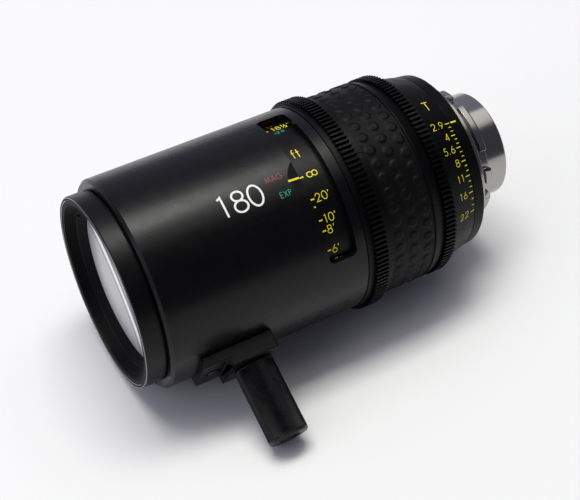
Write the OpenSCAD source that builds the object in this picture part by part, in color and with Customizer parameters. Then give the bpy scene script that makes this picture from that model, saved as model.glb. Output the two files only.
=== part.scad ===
// Cinema prime lens of the macro kind, with a support post screwed to a foot under its barrel.
// Lengths are in millimetres and angles in degrees.
// Pieces are drawn in the lens's own frame: z runs along the optical axis from the front rim
// to the rear, and x points along the support post. placed() then lays the lens on its side,
// resting on the focus gear and the post's tip, with the centre of the mount's seat at the origin.

/* [Front] */
// Outside diameter of the front ring, which a clamp-on matte box grips
front_d = 95; // [90:0.5:100]
// Length of the front ring ahead of the barrel
front_len = 10.3; // [8:0.1:16]
// Width of the front ring's face
front_lip = 3.9; // [3:0.1:4.5]
// Width of the dark groove between the front ring and the barrel
front_groove = 0.8; // [0.4:0.1:1.5]
// Depth of that groove
front_groove_depth = 1.1; // [0.6:0.1:1.6]
// Radial drop of the conical light baffle
baffle_drop = 3.5; // [2:0.1:4]
// Depth of the conical light baffle
baffle_depth = 5.6; // [4:0.1:7]
// Radial drop of the ring that holds the front glass
retainer_drop = 2.6; // [1.5:0.1:4]
// Depth of the ring that holds the front glass
retainer_depth = 4.1; // [3:0.1:6]
// Radius of curvature of the front glass's outer face
front_glass_curve = 150; // [110:5:300]
// Thickness of the front glass at its edge
front_glass_edge = 6.5; // [4:0.1:9]
// Length of the spacer between the two front elements
front_spacer_len = 4; // [3:0.1:8]
// Thickness of the second element at its edge
second_glass_edge = 5; // [4.2:0.1:8]

/* [Barrel] */
// Step from the front ring up to the barrel, on the radius
barrel_step = 4.5; // [3:0.1:7]
// Length of the barrel
barrel_len = 102.2; // [98:0.1:120]
// Wall of the barrel over the focus drum
barrel_wall = 3.2; // [2:0.1:3.6]
// Thickness of the web that carries the front ring
barrel_web = 5.5; // [4:0.1:8]
// Bevel on the barrel's front edge
barrel_bevel = 1.4; // [0.5:0.1:2.5]
// Length of the focus window along the axis
window_len = 14.5; // [9:0.1:16]
// Arc of the focus window
window_arc = 96; // [60:1:110]
// Radius of the focus window's corners
window_corner = 3; // [1.5:0.1:4]
// Distance of the focus window from the barrel's rear edge
window_margin = 5; // [3:0.1:8]
// Length of the bevelled flat that carries the focus index
index_len = 5.3; // [4:0.1:9]
// Half arc of that flat where it meets the window
index_half_arc = 10.2; // [6:0.1:14]

/* [Focus ring] */
// Module of both drive gears
gear_module = 0.8; // [0.5:0.1:1]
// Rise of the focus gear's tips above the barrel
focus_gear_rise = 2.4; // [1.8:0.1:4]
// Face width of the focus gear
focus_gear_w = 7; // [5:0.1:8]
// Length of the focus ring outside the barrel
focus_ring_len = 13.4; // [12:0.1:18]
// Plain lip ahead of the focus gear
focus_lip = 3; // [1.5:0.1:3.5]
// Wall of the engraved focus drum
drum_wall = 3.3; // [2:0.1:3.6]
// Length of the drum inside the barrel
drum_len = 26.5; // [24:0.1:28]
// Wall of the main tube
tube_wall = 4.2; // [3:0.1:5]
// Travel of the focusing group from far to near
focus_travel = 16; // [8:0.5:18]
// Length of the focusing group's cell
focus_cell_len = 22; // [20:0.5:24]
// Diameter of the focusing group's follower pins
follower_d = 4; // [2:0.1:5]

/* [Grip] */
// Length of the rubber hand grip
grip_len = 23.8; // [20:0.1:30]
// Thickness of the rubber under its bumps
rubber_t = 1.5; // [0.8:0.1:2.5]
// Diameter of a bump on the rubber
bump_d = 4.4; // [3:0.1:5]
// Height of a bump
bump_h = 0.7; // [0.3:0.1:1.2]
// Number of rows of bumps along the grip
bump_rows = 3; // [2:1:4]
// Number of bumps round one row
bump_count = 45; // [30:1:48]
// Turn of the rows of bumps from the post
bump_turn = 5.3; // [0:0.1:8]
// Length of the sloped ring behind the grip
cove_len = 5.7; // [4:0.1:9]
// Radial drop over the sloped ring
cove_drop = 1.6; // [0.5:0.1:2.5]

/* [Iris ring] */
// Length of the iris ring
iris_len = 20.3; // [18:0.1:26]
// Face width of the iris gear
iris_gear_w = 5.8; // [4:0.1:7]
// Step from the iris gear's roots down to the marked cone
iris_cone_step = 0.7; // [0.3:0.1:1.5]
// Diameter of the iris ring at its rear end
iris_rear_d = 92; // [90:0.2:96]
// Turn of the iris ring from fully open to fully closed
iris_turn = 57.4; // [30:0.2:90]
// Number of iris blades
blade_count = 9; // [7:1:11]
// Opening diameter of the iris when it is fully open
iris_open_d = 35.2; // [30:0.2:38]
// Width of an iris blade
blade_w = 5.8; // [5:0.1:6.4]
// Thickness of an iris blade
blade_t = 0.2; // [0.1:0.02:0.24]
// Rise from one iris blade to the next
blade_pitch = 0.32; // [0.3:0.01:0.4]

/* [Mount] */
// Length of the fixed ring with the iris index
rear_len = 5.9; // [5:0.1:10]
// Diameter of that ring at its rear end
rear_d = 90.4; // [89:0.2:95]
// Thickness of the shim that sets the flange distance
shim_t = 0.4; // [0.1:0.1:1]
// Diameter of the mount's base disc
disc_d = 80; // [76:0.5:84]
// Thickness of the mount's base disc
disc_t = 4; // [3:0.1:6]
// Diameter of the neck between the disc and the lugs
neck_d = 59; // [57:0.5:61]
// Width of the groove that the camera's locking ring enters
groove_w = 5.2; // [4.5:0.1:7]
// Diameter over the bayonet lugs
lug_d = 68; // [66:0.5:70]
// Thickness of the bayonet lugs
lug_t = 4.6; // [3:0.1:6]
// Arc of each gap between two lugs
lug_gap = 17; // [14:0.5:24]
// Arc of each index slot in a lug
slot_arc = 18; // [10:0.5:20]
// Angle from a lug gap to the next index slot
slot_lead = 61; // [50:0.5:64]
// Diameter of the mount's tube
tube_d = 54; // [50:0.5:56]
// Length of the mount's tube behind the seat
tube_len = 12.9; // [8:0.1:24]
// Bore through the mount
mount_bore_d = 50; // [46:0.5:51]
// Number of mount screws
screw_count = 6; // [4:1:8]
// Thread diameter of a mount screw
screw_d = 2.5; // [2:0.1:2.8]

/* [Support foot] */
// Width of the foot across the barrel
foot_w = 30.4; // [24:0.2:36]
// Distance from the front rim to the foot
foot_start = 24.4; // [16:0.2:30]
// Length of the foot along the axis
foot_len = 35.8; // [34:0.2:42]
// Depth of the foot under the barrel
foot_depth = 6.9; // [5.5:0.1:10]
// Length of the ledge that takes the foot's screw
ledge_len = 12.2; // [10:0.1:13]
// Step from the foot's underside up to the ledge
ledge_drop = 4; // [2:0.1:4.4]
// Radius of the mill cut that clears the foot's screw
pocket_r = 9; // [7:0.1:9.2]
// Thread diameter of the foot's screw
foot_screw_d = 5; // [4:0.1:6]
// Diameter of the support post
post_d = 19.6; // [16:0.2:20]
// Length of the support post below the foot
post_len = 38.1; // [30:0.1:60]
// Bevel round the post's ends
post_bevel = 0.8; // [0.4:0.1:1.5]
// Diameter of the threaded hole in the post's end
post_hole_d = 9.52; // [6:0.01:12]
// Depth of that hole
post_hole_depth = 14; // [8:0.5:16]
// Diameter of the stud that joins the post to the foot
stud_d = 8; // [6:0.1:10]
// Length of that stud inside the post
stud_len = 12; // [8:0.5:14]

/* [Fits] */
// Gap between the faces of pieces that turn past each other
run_gap = 0.3; // [0.2:0.05:0.4]
// Radial clearance of running and sliding fits
running = 0.08; // [0.02:0.01:0.1]
// Radial clearance of pieces that are fixed together
seat = 0.04; // [0.02:0.01:0.06]

/* [Hidden] */
$fn = 128;
glass_fn = 400;
eps = 0.5;

// Finishes
black_anodised = "#191a1c";
matt_black = "#0e0e0f";
black_rubber = "#1d1d1f";
steel = "#b7b9bc";
brass = "#b49a56";
blade_black = "#2a2b2e";
coated_glass = [0.55, 0.62, 0.78, 0.45];

// Places along the axis, from the front rim
barrel_s = front_len;
barrel_end = barrel_s + barrel_len;
focus_s = barrel_end + run_gap;
focus_end = focus_s + focus_ring_len;
grip_s = focus_end + run_gap;
grip_end = grip_s + grip_len;
cove_end = grip_end + cove_len;
iris_s = cove_end + run_gap;
iris_end = iris_s + iris_len;
rear_s = iris_end + run_gap;
rear_end = rear_s + rear_len;
disc_s = rear_end + shim_t;
neck_s = disc_s + disc_t;
lug_s = neck_s + groove_w;
seat_s = lug_s + lug_t;

// Radii of the front pieces
front_r = front_d / 2;
front_bore = front_r - front_lip;
front_neck = front_r - front_groove_depth;
clear_bore = front_bore - baffle_drop;
front_clear = clear_bore - retainer_drop;
glass_land = 0.6;
glass_bore = clear_bore + glass_land;
glass_r = glass_bore - seat;
rim_bevel = 0.7;
rim_step = 0.5;
rim_ledge = front_bore + 2;

// Places of the front glass and of what holds it
retainer_s = baffle_depth + seat;
front_clear_s = retainer_s + retainer_depth;
front_sag = sag(front_glass_curve, front_clear);
front_vertex = front_clear_s + seat - front_sag;
front_edge_s = front_vertex + sag(front_glass_curve, glass_r);
front_edge_end = front_edge_s + front_glass_edge;
front_back_curve = 300;
spacer_end = front_edge_end + front_spacer_len;
second_end = spacer_end + second_glass_edge;
second_curve = 250;
stop_t = 2;
stop_lip = 4;
front_end = second_end + stop_t;
spanner_w = 2;
spanner_depth = 1.2;

// Radii of the barrel, the focus drum and the main tube, from the outside in
barrel_r = front_r + barrel_step;
barrel_bore = barrel_r - barrel_wall;
drum_gap = run_gap;
drum_r = barrel_bore - drum_gap;
drum_bore = drum_r - drum_wall;
tube_r = drum_bore - running;
tube_bore = tube_r - tube_wall;
collar_r = barrel_bore - seat;
rear_step = 3;
tube_rear_r = tube_r - rear_step;
tube_rear_wall = 3.6;
tube_rear_bore = tube_rear_r - tube_rear_wall;

// Places of the main tube's features
collar_w = 6;
tube_setback = 1;
tube_s = front_end + tube_setback;
drum_s = barrel_end - drum_len;
collar_a = tube_s + tube_setback;
collar_b = drum_s - run_gap - collar_w;
waist_s = cove_end - tube_wall;
end_wall = 6;
end_wall_s = rear_end - end_wall;
end_bore = neck_d / 2 + eps;

// Focus window and its index, a quarter turn from the post
window_angle = -90.5;
window_end = barrel_end - window_margin;
window_s = window_end - window_len;
index_drop = barrel_r * (1 - cos(index_half_arc));
index_slope = atan(index_drop / index_len);
mill_over = 0.06;
mill_reach = 1;

// Sloped ring behind the grip
cove_r = barrel_r - 0.3;
cove_lip = 0.8;

// Gears
focus_teeth = round((2 * barrel_r + 2 * focus_gear_rise) / gear_module) - 2;
focus_tip = gear_tip(focus_teeth);
focus_root = gear_root(focus_teeth);
lip_drop = 0.2;
focus_lip_r = focus_root - lip_drop;
focus_rear_lip = focus_ring_len - focus_lip - focus_gear_w;
iris_teeth = round(2 * barrel_r / gear_module) - 2;
iris_root = gear_root(iris_teeth);
iris_cone_r = iris_root - iris_cone_step;

// Focusing group, at its far end
cell_r = tube_bore - running;
cell_setback = 8;
cell_end = focus_end - cell_setback;
cell_s = cell_end - focus_cell_len;
cell_lip_t = 6;
cell_lip_s = cell_s + (focus_cell_len - cell_lip_t) / 2;
cell_wall = 7.9;
cell_bore = cell_r - cell_wall;
glass_lip = 2;
cell_lip = cell_bore - glass_lip;
cell_glass_edge = 5.5;
cell_ring_t = 2;
cell_front_curve = 180;
cell_rear_curve = 160;
follower_s = cell_lip_s + cell_lip_t / 2;
follower_count = 3;
follower_hold = 5;
follower_root = cell_r - follower_hold;
grub_d = focus_rear_lip - 0.4;
grub_s = focus_end - focus_rear_lip / 2;
grub_root = tube_r + 1;
grub_angles = [30, 150, 270];

// Iris, from its base plate to the ring that keeps it in
plate_t = 2.5;
plate_setback = 0.2;
plate_s = iris_s + plate_setback;
blade_s = plate_s + plate_t + run_gap;
blades_end = blade_s + (blade_count - 1) * blade_pitch + blade_t;
drive_t = 3.6;
drive_s = blades_end + run_gap;
drive_mid = drive_s + drive_t / 2;
drive_end = drive_s + drive_t;
keeper_s = drive_end + run_gap;
keeper_t = 2;
blade_inner = iris_open_d / 2;
blade_outer = blade_inner + blade_w;
pivot_offset = 1.2;
pivot_r = blade_outer + pivot_offset;
ear_r = 1.7;
pivot_d = 1.4;
blade_span = 116;
blade_lead = 4;
drive_clear = 1;
drive_bore = pivot_r + ear_r + drive_clear;
drive_pin_d = 2;
drive_hole_r = drive_pin_d / 2 + seat;
drive_pin_angle = 150;
drive_hold = 3;
drive_pin_inner = tube_rear_bore - drive_hold;
drive_pin_outer = tube_rear_r + drive_hold;

// Rear group
mount_bore = mount_bore_d / 2;
rear_cell_r = mount_bore - seat;
rear_cell_wall = 2.8;
rear_bore = rear_cell_r - rear_cell_wall;
rear_lip = rear_bore - glass_lip;
rear_glass_edge = 6;
rear_ring_t = 2.5;
rear_front_curve = 90;
rear_back_curve = 120;
rear_lip_s = disc_s + 1;
rear_lip_t = 10;
rear_lip_end = rear_lip_s + rear_lip_t;
rear_flange_w = 4;
rear_flange_r = end_bore + rear_flange_w;
rear_flange_t = 2.5;
rear_cell_s = end_wall_s - rear_flange_t;
rear_rim = 3;
rear_cell_end = rear_lip_end + rear_glass_edge + rear_ring_t + rear_rim;

// Mount screws
lug_bevel = 2;
lug_bevel_s = 1.6;
lug_count = 4;
first_gap = -117;
gap_floor = neck_d / 2 + 0.3;
screw_r = screw_d / 2;
screw_head_r = 0.92 * screw_d;
screw_edge = 0.7;
screw_circle = disc_d / 2 - screw_head_r - screw_edge;
screw_len = 5;

// Foot and post
foot_end = foot_start + foot_len;
foot_base = barrel_r + foot_depth;
ledge_base = foot_base - ledge_drop;
post_margin = 0.8;
post_r = post_d / 2;
post_s = foot_end - post_margin - post_r;
post_end = foot_base + post_len;
foot_screw_s = foot_start + ledge_len / 2;
foot_screw_r = foot_screw_d / 2;
foot_head_r = 0.7 * foot_screw_d;
foot_head_h = 0.36 * foot_screw_d;
foot_hex_d = 0.66 * foot_screw_d;
foot_hex_depth = 0.24 * foot_screw_d;
pocket_step = 0.2;
foot_screw_tip = barrel_bore + 0.4;
stud_margin = 1.2;
stud_root = barrel_r + stud_margin;

// Lean of the post below level, at which its tip and the focus gear touch the same floor
post_touch = post_end - post_bevel;
lean = asin(focus_tip / norm([post_touch, post_r])) - atan(post_r / post_touch);

// Rise of a sphere's cap of a given radius at a distance from its axis
function sag(curve, r) = curve - sqrt(curve * curve - r * r);
// Tip and root radii of a gear
function gear_tip(teeth) = gear_module * (teeth + 2) / 2;
function gear_root(teeth) = gear_module * (teeth - 2.5) / 2;
// A point at a radius and an angle
function polar(r, a) = [r * cos(a), r * sin(a)];

// Lays a piece drawn in the lens's own frame on its side
module placed() {
    rotate([lean - 90, 0, 0])
        rotate([0, 90, 0])
            translate([0, 0, -seat_s])
                children();
}

// A turned piece from its profile, a list of radius and place pairs
module turned(profile) {
    rotate_extrude()
        polygon(profile);
}

// A plain ring
module ring(s, len, outer, bore) {
    turned([[bore, s], [outer, s], [outer, s + len], [bore, s + len]]);
}

// A ring that bears on convex glass at its far end, cut to the glass's curve.
// The glass's edge lies at the far end and the ring runs from there over len, which may be negative.
module glass_ring(edge, len, outer, bore, curve) {
    side = len > 0 ? 1 : -1;
    lift = sag(curve, outer) - sag(curve, bore);
    turned([
        [bore, edge + len], [outer, edge + len], [outer, edge + side * seat],
        [bore, edge + side * (lift + seat)]]);
}

// A block that runs round the axis over an arc, from inside a radius to outside another
module arc_block(s, len, angle, arc, inner, outer) {
    rotate([0, 0, angle - arc / 2])
        rotate_extrude(angle = arc)
            translate([inner, s])
                square([outer - inner, len]);
}

// A rod along a radius, from one distance from the axis to another
module radial_rod(s, angle, r, inner, outer) {
    rotate([0, 0, angle])
        translate([inner, 0, s])
            rotate([0, 90, 0])
                cylinder(h = outer - inner, r = r);
}

// A spur gear's blank of trapezoid teeth
module spur(s, width, teeth) {
    pitch = 360 / teeth;
    root_half = 0.34 * pitch;
    tip_half = 0.17 * pitch;
    tip = gear_tip(teeth);
    root = gear_root(teeth);
    tooth = [[root, -root_half], [tip, -tip_half], [tip, tip_half], [root, root_half]];
    outline = [for (i = [0 : teeth - 1], c = tooth) polar(c[0], i * pitch + c[1])];
    translate([0, 0, s])
        linear_extrude(height = width)
            polygon(outline);
}

// A glass element between two vertices, convex where a curve is positive and flat where it is zero
module element(front, rear, r, front_curve, rear_curve) {
    edge = front - r;
    color(coated_glass)
        placed()
            difference() {
                intersection() {
                    translate([0, 0, edge])
                        cylinder(h = rear - edge, r = r);
                    if (front_curve > 0)
                        translate([0, 0, front + front_curve])
                            sphere(r = front_curve, $fn = glass_fn);
                    else
                        translate([0, 0, front + front_curve_drop(front_curve, r)])
                            cylinder(h = rear - front + r, r = r + eps);
                    if (rear_curve > 0)
                        translate([0, 0, rear - rear_curve])
                            sphere(r = rear_curve, $fn = glass_fn);
                }
                if (front_curve < 0)
                    translate([0, 0, front + front_curve])
                        sphere(r = -front_curve, $fn = glass_fn);
            }
}

// How far a hollow front face's edge stands ahead of its vertex
function front_curve_drop(curve, r) = curve < 0 ? -sag(-curve, r) : 0;

module front_ring() {
    color(black_anodised)
        placed()
            turned([
                [front_bore, rim_step], [rim_ledge, rim_step], [rim_ledge, 0],
                [front_r - rim_bevel, 0], [front_r, rim_bevel], [front_r, barrel_s - front_groove],
                [front_neck, barrel_s - front_groove], [front_neck, front_end],
                [glass_bore - stop_lip, front_end], [glass_bore - stop_lip, second_end],
                [glass_bore, second_end], [glass_bore, baffle_depth], [front_bore, baffle_depth]]);
}

module front_baffle() {
    color(matt_black)
        placed()
            turned([
                [front_bore - seat, rim_step], [front_bore - 2 * seat, rim_step],
                [clear_bore, baffle_depth], [front_bore - seat, baffle_depth]]);
}

module front_retainer() {
    color(matt_black)
        placed()
            difference() {
                turned([
                    [clear_bore, retainer_s], [glass_r, retainer_s], [glass_r, front_clear_s],
                    [front_clear, front_clear_s]]);
                for (side = [0, 180])
                    rotate([0, 0, side])
                        translate([front_clear, -spanner_w / 2, retainer_s - eps])
                            cube([glass_r, spanner_w, spanner_depth + eps]);
            }
}

module front_element() {
    rear = front_edge_end + sag(front_back_curve, glass_r);
    element(front_vertex, rear, glass_r, front_glass_curve, front_back_curve);
}

module front_spacer() {
    color(matt_black)
        placed()
            glass_ring(front_edge_end, front_spacer_len, glass_r, front_clear, front_back_curve);
}

module second_element() {
    element(spacer_end + sag(second_curve, glass_r), second_end, glass_r, -second_curve, 0);
}

// The focus window, a slot with round corners that runs round the barrel.
// The corner mill cuts a little past the straight walls.
module window_cut() {
    corner_arc = window_corner / barrel_r * 180 / PI;
    corner_angle = window_arc / 2 - corner_arc;
    middle_s = window_s + window_corner;
    middle_len = window_len - 2 * window_corner;
    mill_r = window_corner + mill_over;
    inner = barrel_bore - 2 * mill_reach;
    outer = barrel_r + 2 * mill_reach;
    arc_block(middle_s, middle_len, window_angle, window_arc, inner + mill_reach, outer - mill_reach);
    arc_block(window_s, window_len, window_angle, 2 * corner_angle, inner, outer);
    for (side = [-1, 1], s = [middle_s, window_end - window_corner])
        radial_rod(s, window_angle + side * corner_angle, mill_r, inner - mill_reach, outer + mill_reach);
}

// The bevelled flat that leads the focus index down to the window
module index_cut() {
    rotate([0, 0, window_angle])
        translate([barrel_r, 0, window_s - index_len])
            rotate([0, -index_slope, 0])
                translate([0, -barrel_r / 2, -eps])
                    cube([barrel_r, barrel_r, index_len + window_corner + eps]);
}

module front_barrel() {
    color(black_anodised)
        placed()
            difference() {
                turned([
                    [front_neck + seat, barrel_s], [barrel_r - barrel_bevel, barrel_s],
                    [barrel_r, barrel_s + barrel_bevel], [barrel_r, barrel_end], [barrel_bore, barrel_end],
                    [barrel_bore, barrel_s + barrel_web], [front_neck + seat, barrel_s + barrel_web]]);
                window_cut();
                index_cut();
                radial_rod(foot_screw_s, 0, foot_screw_r + seat, barrel_bore - eps, barrel_r + eps);
            }
}

module main_tube() {
    color(matt_black)
        placed()
            difference() {
                turned([
                    [tube_r, tube_s], [tube_r, collar_a], [collar_r, collar_a],
                    [collar_r, collar_a + collar_w],
                    [tube_r, collar_a + collar_w], [tube_r, collar_b], [collar_r, collar_b],
                    [collar_r, collar_b + collar_w], [tube_r, collar_b + collar_w], [tube_r, cove_end],
                    [tube_rear_r, cove_end], [tube_rear_r, rear_end], [end_bore, rear_end],
                    [end_bore, end_wall_s], [tube_rear_bore, end_wall_s], [tube_rear_bore, waist_s],
                    [tube_bore, waist_s], [tube_bore, tube_s]]);
                for (i = [0 : follower_count - 1])
                    follower_slot(i * 360 / follower_count);
                drive_slot();
                screw_holes(screw_r + seat, rear_end - screw_len - eps, rear_end + eps);
            }
}

// A straight slot that guides one follower pin over its travel
module follower_slot(angle) {
    half = follower_d / 2 + running;
    rotate([0, 0, angle])
        translate([tube_bore - eps, -half, follower_s - focus_travel - half - run_gap])
            cube([tube_wall + 2 * eps, 2 * half, focus_travel + 2 * half + 2 * run_gap]);
}

// The slot round the main tube that the iris drive pin travels in
module drive_slot() {
    half = drive_pin_d / 2 + run_gap;
    half_arc = half / tube_rear_bore * 180 / PI;
    arc = iris_turn + 2 * half_arc;
    middle = drive_pin_angle - iris_turn / 2;
    arc_block(drive_mid - half, 2 * half, middle, arc, tube_rear_bore - eps, tube_rear_r + eps);
}

// Axial holes for the mount screws
module screw_holes(r, from, to) {
    for (i = [0 : screw_count - 1])
        rotate([0, 0, i * 360 / screw_count])
            translate([screw_circle, 0, from])
                cylinder(h = to - from, r = r);
}

module focus_drum() {
    color(black_anodised)
        placed()
            difference() {
                ring(drum_s, focus_end - drum_s, drum_r, drum_bore);
                grub_holes();
            }
}

// Holes for the screws that join the drum to the focus ring
module grub_holes() {
    for (angle = grub_angles)
        radial_rod(grub_s, angle, grub_d / 2 + seat, grub_root, focus_lip_r + eps);
}

module focus_gear() {
    color(black_anodised)
        placed()
            difference() {
                union() {
                    translate([0, 0, focus_s])
                        cylinder(h = focus_ring_len, r = focus_lip_r);
                    spur(focus_s + focus_lip, focus_gear_w, focus_teeth);
                }
                translate([0, 0, focus_s - eps])
                    cylinder(h = focus_ring_len + 2 * eps, r = drum_r + seat);
                grub_holes();
            }
}

module drum_grub_screws() {
    color(steel)
        placed()
            for (angle = grub_angles)
                radial_rod(grub_s, angle, grub_d / 2, grub_root + seat, focus_lip_r - run_gap);
}

module focus_cell() {
    color(matt_black)
        placed()
            difference() {
                turned([
                    [cell_bore, cell_s], [cell_r, cell_s], [cell_r, cell_end], [cell_bore, cell_end],
                    [cell_bore, cell_lip_s + cell_lip_t], [cell_lip, cell_lip_s + cell_lip_t],
                    [cell_lip, cell_lip_s], [cell_bore, cell_lip_s]]);
                follower_rods(follower_d / 2 + seat, cell_r + eps);
            }
}

module focus_element_front() {
    front = cell_lip_s - cell_glass_edge - sag(cell_front_curve, cell_bore);
    element(front, cell_lip_s, cell_bore - seat, cell_front_curve, 0);
}

module focus_element_rear() {
    edge = cell_lip_s + cell_lip_t;
    front = edge + sag(cell_rear_curve, cell_bore);
    element(front, edge + cell_glass_edge, cell_bore - seat, -cell_rear_curve, 0);
}

module focus_retainer_front() {
    color(matt_black)
        placed()
            glass_ring(cell_lip_s - cell_glass_edge, -cell_ring_t, cell_bore - seat, cell_lip,
                cell_front_curve);
}

module focus_retainer_rear() {
    color(matt_black)
        placed()
            ring(cell_lip_s + cell_lip_t + cell_glass_edge, cell_ring_t, cell_bore - seat, cell_lip);
}

module follower_pins() {
    color(brass)
        placed()
            follower_rods(follower_d / 2, tube_r - run_gap);
}

// Rods at the places of the follower pins
module follower_rods(r, outer) {
    for (i = [0 : follower_count - 1])
        radial_rod(follower_s, i * 360 / follower_count, r, follower_root, outer);
}

module grip_core() {
    color(black_anodised)
        placed()
            ring(grip_s, grip_len, barrel_r - bump_h - rubber_t, tube_r + seat);
}

module grip_rubber() {
    outer = barrel_r - bump_h;
    bore = outer - rubber_t + seat;
    row_gap = grip_len / bump_rows;
    color(black_rubber)
        placed()
            difference() {
                union() {
                    ring(grip_s, grip_len, outer, bore);
                    for (row = [0 : bump_rows - 1], i = [0 : bump_count - 1])
                        rotate([0, 0, bump_turn + (i + (row % 2) / 2) * 360 / bump_count])
                            translate([bore - 1, 0, grip_s + (row + 0.5) * row_gap])
                                rotate([0, 90, 0])
                                    cylinder(h = barrel_r - bore + 1, d = bump_d);
                }
                translate([0, 0, grip_s - eps])
                    cylinder(h = grip_len + 2 * eps, r = bore);
            }
}

module cove_ring() {
    color(black_anodised)
        placed()
            turned([
                [tube_r + seat, grip_end], [cove_r, grip_end], [cove_r, grip_end + cove_lip],
                [barrel_r - cove_drop, cove_end], [tube_r + seat, cove_end]]);
}

module iris_ring() {
    bore = tube_rear_r + running;
    color(black_anodised)
        placed()
            difference() {
                union() {
                    spur(iris_s, iris_gear_w, iris_teeth);
                    turned([
                        [0, iris_s + eps], [iris_cone_r, iris_s + eps], [iris_cone_r, iris_s + iris_gear_w],
                        [iris_rear_d / 2, iris_end], [0, iris_end]]);
                }
                translate([0, 0, iris_s - eps])
                    cylinder(h = iris_len + 2 * eps, r = bore);
                radial_rod(drive_mid, drive_pin_angle, drive_hole_r, bore - eps, drive_pin_outer);
            }
}

module iris_drive_pin() {
    color(steel)
        placed()
            radial_rod(drive_mid, drive_pin_angle, drive_pin_d / 2, drive_pin_inner, drive_pin_outer);
}

module iris_drive_ring() {
    color(brass)
        placed()
            difference() {
                ring(drive_s, drive_t, tube_rear_bore - running, drive_bore);
                radial_rod(drive_mid, drive_pin_angle, drive_hole_r, drive_pin_inner, tube_rear_bore);
            }
}

module iris_plate() {
    color(matt_black)
        placed()
            difference() {
                ring(plate_s, plate_t, tube_rear_bore - seat, blade_inner + plate_setback);
                for (i = [1 : blade_count])
                    rotate([0, 0, i * 360 / blade_count])
                        translate([pivot_r, 0, plate_s - eps])
                            cylinder(h = plate_t + 2 * eps, r = pivot_d / 2 + running);
            }
}

module iris_keeper() {
    color(matt_black)
        placed()
            ring(keeper_s, keeper_t, tube_rear_bore - seat, drive_bore);
}

// One iris blade with its pivot pin, on a level of its own
module iris_blade(i) {
    s = blade_s + (i - 1) * blade_pitch;
    color(blade_black)
        placed()
            rotate([0, 0, i * 360 / blade_count]) {
                rotate([0, 0, -blade_lead])
                    rotate_extrude(angle = blade_span)
                        translate([blade_inner, s])
                            square([blade_w, blade_t]);
                translate([pivot_r, 0, s])
                    cylinder(h = blade_t, r = ear_r);
                translate([pivot_r, 0, plate_s + plate_setback])
                    cylinder(h = s - plate_s, r = pivot_d / 2);
            }
}

module index_ring() {
    color(black_anodised)
        placed()
            difference() {
                turned([
                    [tube_rear_r + seat, rear_s], [iris_rear_d / 2, rear_s], [rear_d / 2, rear_end],
                    [tube_rear_r + seat, rear_end]]);
                screw_holes(screw_r + seat, rear_end - screw_len - eps, rear_end + eps);
            }
}

module rear_cell() {
    color(matt_black)
        placed()
            turned([
                [rear_bore, rear_cell_s], [rear_flange_r, rear_cell_s], [rear_flange_r, end_wall_s],
                [end_bore - seat, end_wall_s], [end_bore - seat, rear_end], [rear_cell_r, rear_end],
                [rear_cell_r, rear_cell_end], [rear_bore, rear_cell_end], [rear_bore, rear_lip_end],
                [rear_lip, rear_lip_end], [rear_lip, rear_lip_s], [rear_bore, rear_lip_s]]);
}

module rear_element_inner() {
    front = rear_lip_s - rear_glass_edge - sag(rear_front_curve, rear_bore);
    element(front, rear_lip_s, rear_bore - seat, rear_front_curve, 0);
}

module rear_element_outer() {
    edge = rear_lip_end;
    rear = edge + rear_glass_edge + sag(rear_back_curve, rear_bore);
    element(edge, rear, rear_bore - seat, 0, rear_back_curve);
}

module rear_retainer_inner() {
    color(matt_black)
        placed()
            glass_ring(rear_lip_s - rear_glass_edge, -rear_ring_t, rear_bore - seat, rear_lip,
                rear_front_curve);
}

module rear_retainer_outer() {
    color(matt_black)
        placed()
            glass_ring(rear_lip_end + rear_glass_edge, rear_ring_t, rear_bore - seat, rear_lip,
                rear_back_curve);
}

module mount_shim() {
    color(brass)
        placed()
            difference() {
                ring(rear_end, shim_t, disc_d / 2, end_bore);
                screw_holes(screw_r + seat, rear_end - eps, disc_s + eps);
            }
}

// A cut through the lugs over an arc, almost down to the neck
module lug_cut(angle, arc) {
    arc_block(lug_s - eps, lug_t + 2 * eps, angle, arc, gap_floor, lug_d);
}

module mount_flange() {
    lug_r = lug_d / 2;
    tube_end = seat_s + tube_len;
    color(steel)
        placed()
            difference() {
                turned([
                    [mount_bore, disc_s], [disc_d / 2, disc_s], [disc_d / 2, neck_s], [neck_d / 2, neck_s],
                    [neck_d / 2, lug_s], [lug_r, lug_s], [lug_r, seat_s - lug_bevel_s],
                    [lug_r - lug_bevel, seat_s], [tube_d / 2, seat_s], [tube_d / 2, tube_end - rim_bevel],
                    [tube_d / 2 - rim_bevel, tube_end], [mount_bore, tube_end]]);
                for (i = [0 : lug_count - 1]) {
                    lug_cut(first_gap + i * 360 / lug_count, lug_gap);
                    lug_cut(first_gap + slot_lead + i * 360 / lug_count, slot_arc);
                }
                screw_holes(screw_r + seat, disc_s - eps, neck_s + eps);
                screw_holes(screw_head_r + seat, neck_s - screw_r, neck_s + eps);
            }
}

module mount_screws() {
    color(steel)
        placed()
            for (i = [0 : screw_count - 1])
                rotate([0, 0, i * 360 / screw_count])
                    translate([screw_circle, 0, 0])
                        difference() {
                            union() {
                                translate([0, 0, rear_end - screw_len])
                                    cylinder(h = neck_s - rear_end + screw_len - screw_r / 2, r = screw_r);
                                translate([0, 0, neck_s - screw_r])
                                    cylinder(h = screw_r, r = screw_head_r);
                            }
                            translate([-screw_head_r, -screw_r / 4, neck_s - screw_r / 2])
                                cube([2 * screw_head_r, screw_r / 2, screw_r]);
                        }
}

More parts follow.
